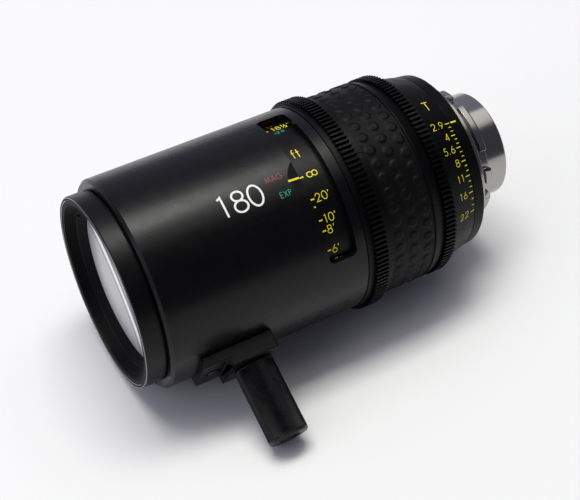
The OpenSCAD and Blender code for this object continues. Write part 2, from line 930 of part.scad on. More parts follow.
module support_foot() {
    color(black_anodised)
        placed()
            difference() {
                translate([0, -foot_w / 2, foot_start])
                    cube([foot_base, foot_w, foot_len]);
                translate([ledge_base, -foot_w, foot_start - eps])
                    cube([foot_depth, 2 * foot_w, ledge_len + eps]);
                translate([0, 0, foot_start - eps])
                    cylinder(h = foot_len + 2 * eps, r = barrel_r + seat);
                radial_rod(foot_screw_s, 0, pocket_r, ledge_base + pocket_step, foot_base + eps);
                radial_rod(foot_screw_s, 0, foot_screw_r + seat, barrel_r - eps, foot_base);
                radial_rod(post_s, 0, stud_d / 2 + seat, stud_root, foot_base + eps);
            }
}

module foot_screw() {
    color(black_anodised)
        placed()
            difference() {
                union() {
                    radial_rod(foot_screw_s, 0, foot_screw_r, foot_screw_tip, ledge_base + foot_head_h / 2);
                    radial_rod(foot_screw_s, 0, foot_head_r, ledge_base, ledge_base + foot_head_h);
                }
                translate([ledge_base + foot_head_h - foot_hex_depth, 0, foot_screw_s])
                    rotate([0, 90, 0])
                        cylinder(h = foot_screw_d, d = foot_hex_d, $fn = 6);
            }
}

module support_post() {
    color(black_anodised)
        placed()
            translate([foot_base, 0, post_s])
                rotate([0, 90, 0])
                    difference() {
                        turned([
                            [0, 0], [post_r - post_bevel, 0], [post_r, post_bevel],
                            [post_r, post_len - post_bevel], [post_r - post_bevel, post_len],
                            [0, post_len]]);
                        translate([0, 0, post_len - post_hole_depth])
                            cylinder(h = post_hole_depth + eps, d = post_hole_d);
                        translate([0, 0, -eps])
                            cylinder(h = stud_len + eps, r = stud_d / 2 + seat);
                    }
}

module post_stud() {
    color(steel)
        placed()
            radial_rod(post_s, 0, stud_d / 2, stud_root, foot_base + stud_len);
}

front_ring();
front_baffle();
front_retainer();
front_element();
front_spacer();
second_element();
front_barrel();
main_tube();
focus_drum();
focus_gear();
drum_grub_screws();
focus_cell();
focus_element_front();
focus_element_rear();
focus_retainer_front();
focus_retainer_rear();
follower_pins();
grip_core();
grip_rubber();
cove_ring();
iris_ring();
iris_drive_pin();
iris_drive_ring();
iris_plate();
iris_keeper();
index_ring();
rear_cell();
rear_element_inner();
rear_element_outer();
rear_retainer_inner();
rear_retainer_outer();
mount_shim();
mount_flange();
mount_screws();
support_foot();
foot_screw();
support_post();
post_stud();
for (i = [1 : blade_count])
    iris_blade(i);
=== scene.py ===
"""Looks of a macro cinema prime lens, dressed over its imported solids.

Lengths are in millimetres unless a comment says otherwise. A place on the lens is given by s, the distance
behind the front rim along the optical axis, r, the distance from that axis, and theta, the angle in degrees
from the support post. The lens lies on a pale floor, leaning on its focus gear and the tip of the post.
"""

import logging
import math
from dataclasses import dataclass, field
from enum import Enum
from typing import Any, Callable, Optional, Sequence

import bmesh
import bpy
from mathutils import Matrix, Vector

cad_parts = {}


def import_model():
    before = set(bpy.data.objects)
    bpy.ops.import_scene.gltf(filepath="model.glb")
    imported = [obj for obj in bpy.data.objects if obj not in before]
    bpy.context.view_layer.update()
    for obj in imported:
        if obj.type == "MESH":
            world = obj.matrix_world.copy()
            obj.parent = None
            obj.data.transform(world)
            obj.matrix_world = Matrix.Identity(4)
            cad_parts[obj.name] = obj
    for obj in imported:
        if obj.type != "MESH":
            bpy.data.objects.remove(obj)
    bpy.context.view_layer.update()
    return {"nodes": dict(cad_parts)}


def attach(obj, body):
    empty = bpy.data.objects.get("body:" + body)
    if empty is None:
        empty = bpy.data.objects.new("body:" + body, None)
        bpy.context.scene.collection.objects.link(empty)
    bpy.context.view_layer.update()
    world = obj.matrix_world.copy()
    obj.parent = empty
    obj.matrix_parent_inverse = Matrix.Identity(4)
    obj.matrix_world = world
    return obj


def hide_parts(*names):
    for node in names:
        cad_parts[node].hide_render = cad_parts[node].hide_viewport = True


LOG = logging.getLogger("cinema_lens")
MM = 0.001
Point2 = tuple[float, float]
Stroke = list[Point2]
Relief = Callable[[int, float], float]


class Body(Enum):
    """Bodies of the mechanism that carry added pieces."""

    HOUSING = "housing"
    FOCUS = "focus_ring"
    GROUP = "focusing_group"
    IRIS = "iris_ring"


class Paint(Enum):
    """Paints that fill the engraved marks, as sRGB."""

    WHITE = "#e9e9e4"
    YELLOW = "#e6d61e"
    RED = "#9c3037"
    GREEN = "#2f9f82"


# Frame of the lens


@dataclass(frozen=True)
class LensFrame:
    """Places on the lens, turned into points of the scene.

    Args:
        seat_s: distance of the mount's seat behind the front rim.
        gear_r: radius of the focus gear that the lens lies on.
        rest_r: distance from the axis of the post's edge that rests on the floor.
        post_r: radius of the post.
    """

    seat_s: float = 197.0
    gear_r: float = 54.4
    rest_r: float = 96.2
    post_r: float = 9.8

    @property
    def lean(self) -> float:
        """Angle in radians by which the post leans below the horizontal."""
        edge = math.hypot(self.rest_r, self.post_r)
        return math.asin(self.gear_r / edge) - math.atan2(self.post_r, self.rest_r)

    @property
    def post(self) -> Vector:
        """Unit vector from the axis towards the post's tip."""
        return Vector((0.0, -math.cos(self.lean), -math.sin(self.lean)))

    @property
    def side(self) -> Vector:
        """Unit vector square to the post and to the axis, on its upper side."""
        return Vector((0.0, -math.sin(self.lean), math.cos(self.lean)))

    def radial(self, theta: float) -> Vector:
        """Unit vector from the axis at an angle."""
        turn = math.radians(theta)
        return math.cos(turn) * self.post - math.sin(turn) * self.side

    def point(self, s: float, r: float, theta: float) -> Vector:
        """Point of the scene, in metres."""
        return Vector(((s - self.seat_s) * MM, 0.0, 0.0)) + self.radial(theta) * (r * MM)


LENS = LensFrame()


@dataclass(frozen=True)
class Axis:
    """Line that a turned piece is round.

    Args:
        origin: point where the profile's s is zero, in metres.
        along: unit vector of growing s.
        first: unit vector at angle zero.
        second: unit vector at a quarter turn.
    """

    origin: Vector
    along: Vector
    first: Vector
    second: Vector

    def at(self, s: float, r: float, theta: float) -> Vector:
        """Find a point of the scene.

        Args:
            s: distance along the line.
            r: distance from the line.
            theta: angle round it, in degrees.

        Returns:
            The point, in metres.
        """
        turn = math.radians(theta)
        arm = self.first * math.cos(turn) + self.second * math.sin(turn)
        return self.origin + self.along * (s * MM) + arm * (r * MM)


OPTICAL = Axis(LENS.point(0.0, 0.0, 0.0), Vector((1.0, 0.0, 0.0)), LENS.post, -LENS.side)


# Meshes


def placed(name: str, data: Any) -> Any:
    """Make an object of a mesh, a lamp or a camera.

    Args:
        name: name of the object.
        data: what it shows.

    Returns:
        The new object, linked to the scene.
    """
    piece = bpy.data.objects.new(name, data)
    bpy.context.scene.collection.objects.link(piece)
    return piece


def as_object(
    name: str,
    points: Sequence[Vector],
    faces: Sequence[Sequence[int]],
    bands: Sequence[int] = (),
    weld: float = 0.0,
) -> Any:
    """Make an object from points and faces, turned outwards and shaded smooth between its sharp edges.

    Args:
        name: name of the object.
        points: corners, in metres.
        faces: indices of the corners of each face.
        bands: number of the finish on each face, where a piece has several.
        weld: corners closer than this, in metres, become one.

    Returns:
        The new object, linked to the scene.
    """
    flat_angle = 34.0
    mesh = bpy.data.meshes.new(name)
    mesh.from_pydata([tuple(point) for point in points], [], [list(face) for face in faces])
    if bands:
        mesh.polygons.foreach_set("material_index", list(bands))
    work = bmesh.new()
    work.from_mesh(mesh)
    if weld:
        bmesh.ops.remove_doubles(work, verts=work.verts, dist=weld)
    bmesh.ops.recalc_face_normals(work, faces=work.faces)
    work.to_mesh(mesh)
    work.free()
    mesh.shade_smooth()
    mesh.set_sharp_from_angle(angle=math.radians(flat_angle))
    return placed(name, mesh)


def lathe(
    name: str,
    profile: Sequence[tuple[float, ...]],
    axis: Axis = OPTICAL,
    segments: int = 240,
    relief: Optional[Relief] = None,
) -> Any:
    """Turn a closed profile round an axis.

    Args:
        name: name of the object.
        profile: s and r of each point, in order round the section. Where a piece has several finishes,
            a third number is that of the finish on the stretch after the point.
        axis: line to turn about.
        segments: facets in a full turn.
        relief: extra radius, given the point's index in the profile and the angle.

    Returns:
        The new object.
    """
    same_place = 1e-7
    count = len(profile)
    points: list[Vector] = []
    for step in range(segments):
        theta = 360.0 * step / segments
        for index, (s, r, *_) in enumerate(profile):
            points.append(axis.at(s, r + (relief(index, theta) if relief else 0.0), theta))
    faces = []
    for step in range(segments):
        here, there = step * count, ((step + 1) % segments) * count
        for index in range(count):
            after = (index + 1) % count
            faces.append((here + index, here + after, there + after, there + index))
    bands = [int(point[2]) for point in profile if len(point) > 2]
    return as_object(name, points, faces, bands * segments, weld=same_place)


def eased_copy(node: Any, name: str, width: float, only: Optional[Callable[[Vector], bool]] = None) -> Any:
    """Copy a solid with its sharp edges broken by a narrow rounded bevel.

    Args:
        node: object of the solid.
        name: name of the copy.
        width: width of the bevel.
        only: test of a point, in metres, that both ends of a broken edge pass.

    Returns:
        The new object, in the solid's place.
    """
    same_place, flat_deg, crease_deg, sharp_deg, hard_deg = 1e-6, 0.3, 4.0, 28.0, 50.0
    bevel_steps, most_corners = 2, 4
    work = bmesh.new()
    work.from_mesh(node.data)
    work.transform(node.matrix_world)
    bmesh.ops.remove_doubles(work, verts=work.verts, dist=same_place)
    bmesh.ops.dissolve_limit(work, angle_limit=math.radians(flat_deg), verts=work.verts, edges=work.edges)
    crease = work.edges.layers.int.new("crease")
    for edge in work.edges:
        edge[crease] = int(edge.calc_face_angle(0.0) > math.radians(crease_deg))
    sharp = [edge for edge in work.edges if edge.calc_face_angle(0.0) > math.radians(sharp_deg)]
    if only:
        sharp = [edge for edge in sharp if all(only(vert.co) for vert in edge.verts)]
    bmesh.ops.bevel(
        work, geom=sharp, offset=width * MM, offset_type="OFFSET", segments=bevel_steps, profile=0.5,
        affect="EDGES", clamp_overlap=True,
    )
    for edge in work.edges:
        edge.smooth = not edge[crease] and edge.calc_face_angle(0.0) < math.radians(hard_deg)
    work.edges.layers.int.remove(crease)
    bmesh.ops.triangulate(work, faces=[face for face in work.faces if len(face.verts) > most_corners])
    bmesh.ops.recalc_face_normals(work, faces=work.faces)
    for face in work.faces:
        face.smooth = True
    mesh = bpy.data.meshes.new(name)
    work.to_mesh(mesh)
    work.free()
    piece = placed(name, mesh)
    piece.modifiers.new("flat_faces", "WEIGHTED_NORMAL").keep_sharp = True
    return piece


# Finishes


def linear(colour: str) -> tuple[float, float, float, float]:
    """Turn an sRGB colour into a linear one.

    Args:
        colour: six hexadecimal digits, such as #1a1b1c.

    Returns:
        Linear red, green, blue and alpha.
    """
    parts = [int(colour[start:start + 2], 16) / 255 for start in (1, 3, 5)]
    light = [part / 12.92 if part <= 0.04045 else ((part + 0.055) / 1.055) ** 2.4 for part in parts]
    return (light[0], light[1], light[2], 1.0)


def add_node(tree: Any, kind: str, inputs: Optional[dict[Any, Any]] = None, **settings: Any) -> Any:
    """Add a shader node with its settings, values and links.

    Args:
        tree: node tree to add to.
        kind: type of the node.
        inputs: a value or an output to link, by name or number of the input.
        settings: properties of the node.

    Returns:
        The new node.
    """
    node = tree.nodes.new(kind)
    for key, value in settings.items():
        setattr(node, key, value)
    for key, value in (inputs or {}).items():
        if isinstance(value, bpy.types.NodeSocket):
            tree.links.new(value, node.inputs[key])
        else:
            node.inputs[key].default_value = value
    return node


@dataclass(frozen=True)
class Finish:
    """A surface as it was made, with the parts that all finishes share.

    Args:
        name: material and how its surface was made.
        colour: sRGB colour of the surface.
        roughness: mean roughness of its gloss.
        uneven: how far the roughness strays from the mean.
        grain_mm: size of the surface's grain.
        grain_height_mm: height of that grain.
        sheen: strength of the gloss straight on, where a half is that of plain lacquer.
    """

    name: str
    colour: str
    roughness: float
    uneven: float = 0.06
    grain_mm: float = 0.5
    grain_height_mm: float = 0.01
    sheen: float = 0.5

    def material(self) -> Any:
        """Make the material on first use.

        Returns:
            The material of this finish.
        """
        known = bpy.data.materials.get(self.name)
        if known:
            return known
        made = bpy.data.materials.new(self.name)
        made.use_nodes = True
        tree = made.node_tree
        shader = tree.nodes["Principled BSDF"]
        shader.inputs["Base Color"].default_value = linear(self.colour)
        shader.inputs["Roughness"].default_value = self.roughness
        shader.inputs["Specular IOR Level"].default_value = self.sheen
        self.dress(tree, shader)
        made.diffuse_color = linear(self.colour)
        return made

    def dress(self, tree: Any, shader: Any) -> None:
        """Add what sets this finish apart; the plain finish has grain and uneven gloss."""
        self.vary(tree, shader, self.spots(tree, size_mm=9.0), self.spots(tree, self.grain_mm))

    def spots(self, tree: Any, size_mm: float, detail: float = 2.0) -> Any:
        """Cover the piece with soft spots that turn with it.

        Args:
            tree: node tree of the material.
            size_mm: size of a spot.
            detail: how many finer layers of spots lie over the first.

        Returns:
            The output that strays from spot to spot.
        """
        own = add_node(tree, "ShaderNodeTexCoord").outputs["Object"]
        inputs = {"Vector": own, "Scale": 1.0 / (size_mm * MM), "Detail": detail}
        return add_node(tree, "ShaderNodeTexNoise", inputs).outputs["Fac"]

    def lathe_place(self, tree: Any, middle: Point2 = (0.0, 0.0)) -> tuple[Any, Any]:
        """Give a place on the piece as a lathe sees it.

        Args:
            tree: node tree of the material.
            middle: middle of the turning, off the axis along the scene's y and z.

        Returns:
            The outputs of the distance along the axis and of the radius, in metres.
        """
        own = add_node(tree, "ShaderNodeTexCoord").outputs["Object"]
        parts = add_node(tree, "ShaderNodeSeparateXYZ", {"Vector": own})
        flat = add_node(tree, "ShaderNodeCombineXYZ", {"Y": parts.outputs["Y"], "Z": parts.outputs["Z"]})
        ends = {0: flat.outputs["Vector"], 1: (0.0, middle[0] * MM, middle[1] * MM)}
        radius = add_node(tree, "ShaderNodeVectorMath", ends, operation="DISTANCE")
        return parts.outputs["X"], radius.outputs["Value"]

    def vary(self, tree: Any, shader: Any, gloss: Any, grain: Any) -> None:
        """Let the roughness stray with one output and raise the surface with another.

        Args:
            tree: node tree of the material.
            shader: its surface shader.
            gloss: what the roughness follows, or None where it is even.
            grain: what the height follows, or None where the surface is smooth.
        """
        low, high = 0.3, 0.7
        if gloss is not None:
            spread = add_node(
                tree, "ShaderNodeMapRange",
                {"Value": gloss, "From Min": low, "From Max": high,
                 "To Min": self.roughness - self.uneven, "To Max": self.roughness + self.uneven},
            )
            tree.links.new(spread.outputs["Result"], shader.inputs["Roughness"])
        if grain is not None:
            height = {"Strength": 1.0, "Distance": self.grain_height_mm * MM, "Height": grain}
            bump = add_node(tree, "ShaderNodeBump", height)
            tree.links.new(bump.outputs["Normal"], shader.inputs["Normal"])

    def cloud(self, tree: Any, shader: Any, other: str, size_mm: float, detail: float = 2.0) -> None:
        """Let the colour drift towards a second one in soft clouds.

        Args:
            tree: node tree of the material.
            shader: its surface shader.
            other: the second sRGB colour.
            size_mm: size of a cloud.
            detail: how many finer layers lie over the first.
        """
        colours = {"Factor": self.spots(tree, size_mm, detail), "A": linear(self.colour), "B": linear(other)}
        mix = add_node(tree, "ShaderNodeMix", colours, data_type="RGBA")
        tree.links.new(mix.outputs["Result"], shader.inputs["Base Color"])


@dataclass(frozen=True)
class BlastedAnodising(Finish):
    """Bead-blasted and dyed black: an even satin whose fine dimples spread a highlight into a soft band.

    Real dimples are far finer than the grain here, which is drawn as coarse as it needs to show.

    Args:
        worn: second sRGB colour in the faint cloud of the dye.
    """

    worn: str = "#1b1b1d"

    def dress(self, tree: Any, shader: Any) -> None:
        """Add the faint cloud of the dye, the uneven gloss and the dimples."""
        self.cloud(tree, shader, self.worn, size_mm=14.0)
        self.vary(tree, shader, self.spots(tree, size_mm=6.0, detail=4.0), self.spots(tree, self.grain_mm))


@dataclass(frozen=True)
class TurnedMetal(Finish):
    """Cut on a lathe: rings round the axis stretch each highlight and let the gloss change from ring to ring.

    Args:
        ring_mm: width of the rings; real feed marks are finer and are drawn as coarse as they need to show.
        metallic: one for bare metal, zero under a dyed film.
    """

    ring_mm: float = 0.5
    metallic: float = 0.0

    def dress(self, tree: Any, shader: Any) -> None:
        """Add rings that follow the distance along the axis and the radius.

        Args:
            tree: node tree of the material.
            shader: its surface shader.
        """
        shader.inputs["Metallic"].default_value = self.metallic
        along, radius = self.lathe_place(tree)
        spot = add_node(tree, "ShaderNodeCombineXYZ", {"X": along, "Y": radius}).outputs["Vector"]
        inputs = {"Vector": spot, "Scale": 1.0 / (self.ring_mm * MM), "Detail": 3.0}
        rings = add_node(tree, "ShaderNodeTexNoise", inputs).outputs["Fac"]
        self.vary(tree, shader, rings, rings)


@dataclass(frozen=True)
class MouldedRubber(Finish):
    """Moulded rubber: dull, with a pebbled skin and a pale bloom that keep its lights low and broad.

    Args:
        bloom: sRGB colour of the bloom.
    """

    bloom: str = "#202022"

    def dress(self, tree: Any, shader: Any) -> None:
        """Add the bloom and the pebbled skin."""
        self.cloud(tree, shader, self.bloom, size_mm=5.0, detail=5.0)
        self.vary(tree, shader, self.spots(tree, size_mm=1.5), self.spots(tree, self.grain_mm))


@dataclass(frozen=True)
class CoatedGlass(Finish):
    """Polished and coated glass: clear from straight on, with a weak tinted reflection and wiping marks.

    A painted pale veil at a slant stands in for the reflections of the many coated faces behind the front
    one.

    Args:
        coat: sRGB tint of the coating's reflection.
        ior: index that gives the weak reflection of a coated face, lower than that of bare glass.
        veil: share of the painted veil at a slant.
        painted_veil_colour: sRGB colour of the painted veil.
        veil_slant: slants at which the veil sets in and is full, from zero straight on to one edge-on.
        painted_gap_colour: sRGB colour painted between the arcs of painted reflection near the rim.
        painted_arc_colour: sRGB colour of those painted arcs.
        arc_mm: spacing of the arcs; the real ones lie closer and are drawn as coarse as they need to show.
        arc_level: levels of the pattern at which a gap ends and an arc is full.
        arc_from: smallest radius of the arcs.
        arc_fade: width over which they set in.
        arc_middle: middle of the arcs, off the axis, along the scene's y and z.
    """

    coat: str = "#cfc6f2"
    ior: float = 1.3
    veil: float = 0.0
    painted_veil_colour: str = "#c2c1c1"
    veil_slant: Point2 = (0.52, 0.7)
    painted_gap_colour: str = "#5c5b5f"
    painted_arc_colour: str = "#ffffff"
    arc_mm: float = 2.8
    arc_level: Point2 = (0.4, 0.52)
    arc_from: float = 32.0
    arc_fade: float = 6.0
    arc_middle: Point2 = (16.8, -16.8)

    def dress(self, tree: Any, shader: Any) -> None:
        """Add the clear body, the coating's tint, faint wiping marks in the gloss and the veil.

        Args:
            tree: node tree of the material.
            shader: its surface shader.
        """
        shader.inputs["Transmission Weight"].default_value = 1.0
        shader.inputs["IOR"].default_value = self.ior
        shader.inputs["Specular Tint"].default_value = linear(self.coat)
        self.vary(tree, shader, self.spots(tree, size_mm=18.0, detail=4.0), None)
        if self.veil > 0.0:
            self.add_painted_reflection(tree, shader)

    def add_painted_reflection(self, tree: Any, shader: Any) -> None:
        """Mix in the painted veil, with painted arcs beside the rim for the light that the inner rings throw.

        Args:
            tree: node tree of the material.
            shader: its surface shader.
        """
        _, radius = self.lathe_place(tree, self.arc_middle)
        rings = add_node(
            tree, "ShaderNodeTexNoise",
            {"W": radius, "Scale": 1.0 / (self.arc_mm * MM), "Detail": 0.0}, noise_dimensions="1D",
        )
        line = add_node(
            tree, "ShaderNodeMapRange",
            {"Value": rings.outputs["Fac"], "From Min": self.arc_level[0], "From Max": self.arc_level[1]},
        )
        arcs = add_node(
            tree, "ShaderNodeMix",
            {"Factor": line.outputs["Result"], "A": linear(self.painted_gap_colour), "B": linear(self.painted_arc_colour)},
            data_type="RGBA",
        )
        near = add_node(
            tree, "ShaderNodeMapRange",
            {"Value": radius, "From Min": self.arc_from * MM,
             "From Max": (self.arc_from + self.arc_fade) * MM},
            interpolation_type="SMOOTHSTEP",
        )
        # Painted reflection: a pale lit layer, with painted arcs and darker gaps near the rim, mixed in at a
        # slant
        pale = add_node(
            tree, "ShaderNodeMix",
            {"Factor": near.outputs["Result"], "A": linear(self.painted_veil_colour), "B": arcs.outputs["Result"]},
            data_type="RGBA",
        )
        painted_haze = add_node(
            tree, "ShaderNodeBsdfPrincipled", {"Base Color": pale.outputs["Result"], "Roughness": 0.3}
        )
        slant = add_node(tree, "ShaderNodeLayerWeight", {"Blend": 0.5})
        share = add_node(
            tree, "ShaderNodeMapRange",
            {"Value": slant.outputs["Facing"], "From Min": self.veil_slant[0], "From Max": self.veil_slant[1],
             "To Max": self.veil},
            interpolation_type="SMOOTHSTEP",
        )
        both = add_node(
            tree, "ShaderNodeMixShader",
            {0: share.outputs["Result"], 1: shader.outputs["BSDF"], 2: painted_haze.outputs["BSDF"]},
        )
        tree.links.new(both.outputs["Shader"], tree.nodes["Material Output"].inputs["Surface"])


@dataclass(frozen=True)
class FilledPaint(Finish):
    """Paint wiped into an engraving: flat and slightly chalky, so it stays bright from every side."""

    def dress(self, tree: Any, shader: Any) -> None:
        """Add the chalky grain of the dried paint."""
        self.vary(tree, shader, None, self.spots(tree, self.grain_mm))


# Numbers in order: roughness, its spread, grain and its height, sheen, and then what the class adds

# Satin shell: one broad soft highlight and no mirror image
BARREL = BlastedAnodising("anodised_aluminium_blasted", "#050506", 0.29, 0.03, 0.45, 0.008, 0.23, "#070708")
# Turned and dyed: dull, with a faint stretch of light along an edge
RING = TurnedMetal("anodised_aluminium_turned", "#040405", 0.42, 0.05, 0.3, 0.003, 0.1, 0.5)
# Cut teeth: dull flanks, and only the tips catch light
GEAR = BlastedAnodising("anodised_aluminium_hobbed", "#040405", 0.4, 0.05, 0.4, 0.006, 0.12, "#060607")
# Flat black under the scale, so that the paint stands out
DRUM = BlastedAnodising("anodised_aluminium_matt_dyed", "#050506", 0.36, 0.04, 0.35, 0.008, 0.18, "#070708")
# Milled block: an even grey-black from all sides
FOOT = BlastedAnodising("anodised_aluminium_milled", "#050506", 0.36, 0.05, 0.5, 0.008, 0.16, "#070708")
# Knurled: each flute has a thin line of gloss
POST = BlastedAnodising("anodised_aluminium_knurled", "#040405", 0.3, 0.05, 0.4, 0.003, 0.24, "#060607")
# Dull skin: the bumps show by shade more than by gloss
RUBBER = MouldedRubber("rubber_moulded", "#050506", 0.52, 0.05, 0.7, 0.012, 0.12, "#070708")
# Inside walls: next to no gloss, so the bore reads as dark
INNER = TurnedMetal("matt_black_paint_sprayed", "#020203", 0.6, 0.05, 0.3, 0.004, 0.12, 0.8)
# Edge cut after the dye: a thin bright line
BRIGHT_CUT = TurnedMetal("anodised_aluminium_bright_cut", "#9c9c9e", 0.26, 0.05, 0.2, 0.002, 0.5, 0.4, 1.0)
# Bare steel: the lamps are drawn out into soft bright bands
STEEL = TurnedMetal("stainless_steel_turned", "#a3a19d", 0.17, 0.05, 0.2, 0.0006, 0.5, 0.5, 1.0)
# Black oxide: dull and dark with a weak gleam
SCREW = TurnedMetal("steel_screw_blackened", "#050506", 0.4, 0.06, 0.2, 0.003, 0.15, 0.6)
# Oxide rubbed thin: a grey gleam on black
SCREW_HEAD = TurnedMetal("steel_screw_rubbed_black", "#18181a", 0.34, 0.06, 0.2, 0.003, 0.5, 0.6)
# Bare screws: a pale gleam
BRIGHT_SCREW = TurnedMetal("steel_screw_bright", "#a9a8a4", 0.28, 0.06, 0.2, 0.003, 0.5, 0.6, 1.0)
# Thin blackened strip: a weak even sheen
BLADE = Finish("spring_steel_blackened", "#0c0c0d", 0.42, 0.06, 0.4, 0.003, 0.35)
# Bare brass: a warm yellow gleam
BRASS = TurnedMetal("brass_turned", "#b08d4a", 0.3, 0.06, 0.2, 0.004, 0.5, 0.5, 1.0)
# Dark from the front, with a violet tinge, and pale at a slant from a painted veil and painted arcs of
# reflection
FRONT_GLASS = CoatedGlass(
    "glass_coated_front", "#ffffff", 0.012, 0.008, coat="#d9d2f4", ior=1.3, veil=0.9
)
# Clear, with a weak green reflection
INNER_GLASS = CoatedGlass("glass_coated_inner", "#ffffff", 0.02, 0.01, coat="#c4e0d2", ior=1.17)
# Painted shade: black with no gloss at any slant, so a shallow sunk ring reads as a deep hole
PAINTED_SHADE = Finish("painted_shade_dead_flat", "#020203", 0.9, 0.02, 0.3, 0.0, 0.0)
# Pale matt ground that shows soft shadows
FLOOR = Finish("paper_sheet_white", "#ececeb", 0.7, 0.03, 1.5, 0.002)

SLOT_FINISH: dict[str, Finish] = {
    "barrel_anodised": BARREL, "ring_anodised": RING, "gear_anodised": GEAR, "drum_anodised": DRUM,
    "grip_rubber": RUBBER, "foot_anodised": FOOT, "post_anodised": POST, "screw_black": SCREW,
    "inner_black": INNER, "blade_steel": BLADE, "mount_steel": STEEL, "screw_steel": BRIGHT_SCREW,
    "shim_brass": BRASS, "pin_brass": BRASS, "front_glass": FRONT_GLASS, "inner_glass": INNER_GLASS,
}


def dress(piece: Any, *finishes: Finish) -> None:
    """Give a piece its finishes, one material slot each."""
    for finish in finishes:
        piece.data.materials.append(finish.material())


def seat(
    piece: Any, body: Body, finishes: Sequence[Finish], replaces: Sequence[str] = ()
) -> None:
    """Dress an added piece, tie it to its body and hide the solids it stands for.

    Args:
        piece: object in its place.
        body: body that carries it.
        finishes: its finishes, in the order of its material slots.
        replaces: nodes that it stands for.
    """
    dress(piece, *finishes)
    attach(piece, body.value)
    for node in replaces:
        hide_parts(node)
    LOG.info("%s: %d faces, on %s", piece.name, len(piece.data.polygons), body.value)


# Pieces


@dataclass
class Solids:
    """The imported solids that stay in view, dressed by their part slot.

    Args:
        nodes: object of each solid, by the name of its node.
    """

    nodes: dict[str, Any]

    def dress_all(self) -> None:
        """Give each solid the finish of its slot."""
        for name, node in self.nodes.items():
            slot = node.data.materials[0].name
            finish = SLOT_FINISH[slot]
            for index in range(len(node.data.materials)):
                node.data.materials[index] = finish.material()
            LOG.info("%s: %s", name, finish.name)


@dataclass
class EasedPiece:
    """A solid whose edges are broken as a machinist would, so that they catch a thin line of light.

    Args:
        node: node that it stands for.
        width: width of the broken edge.
        body: body that carries it.
        slot: part slot that it belongs to; not used.
        finish: its finish.
        only: test of a point, in metres, that both ends of a broken edge pass.
    """

    node: str
    width: float
    body: Body
    slot: str
    finish: Finish
    only: Optional[Callable[[Vector], bool]] = None

    def build(self, nodes: dict[str, Any]) -> None:
        """Copy the solid, break its edges and put it in the solid's place."""
        piece = eased_copy(nodes[self.node], self.node + "_eased", self.width, self.only)
        seat(piece, self.body, [self.finish], [self.node])


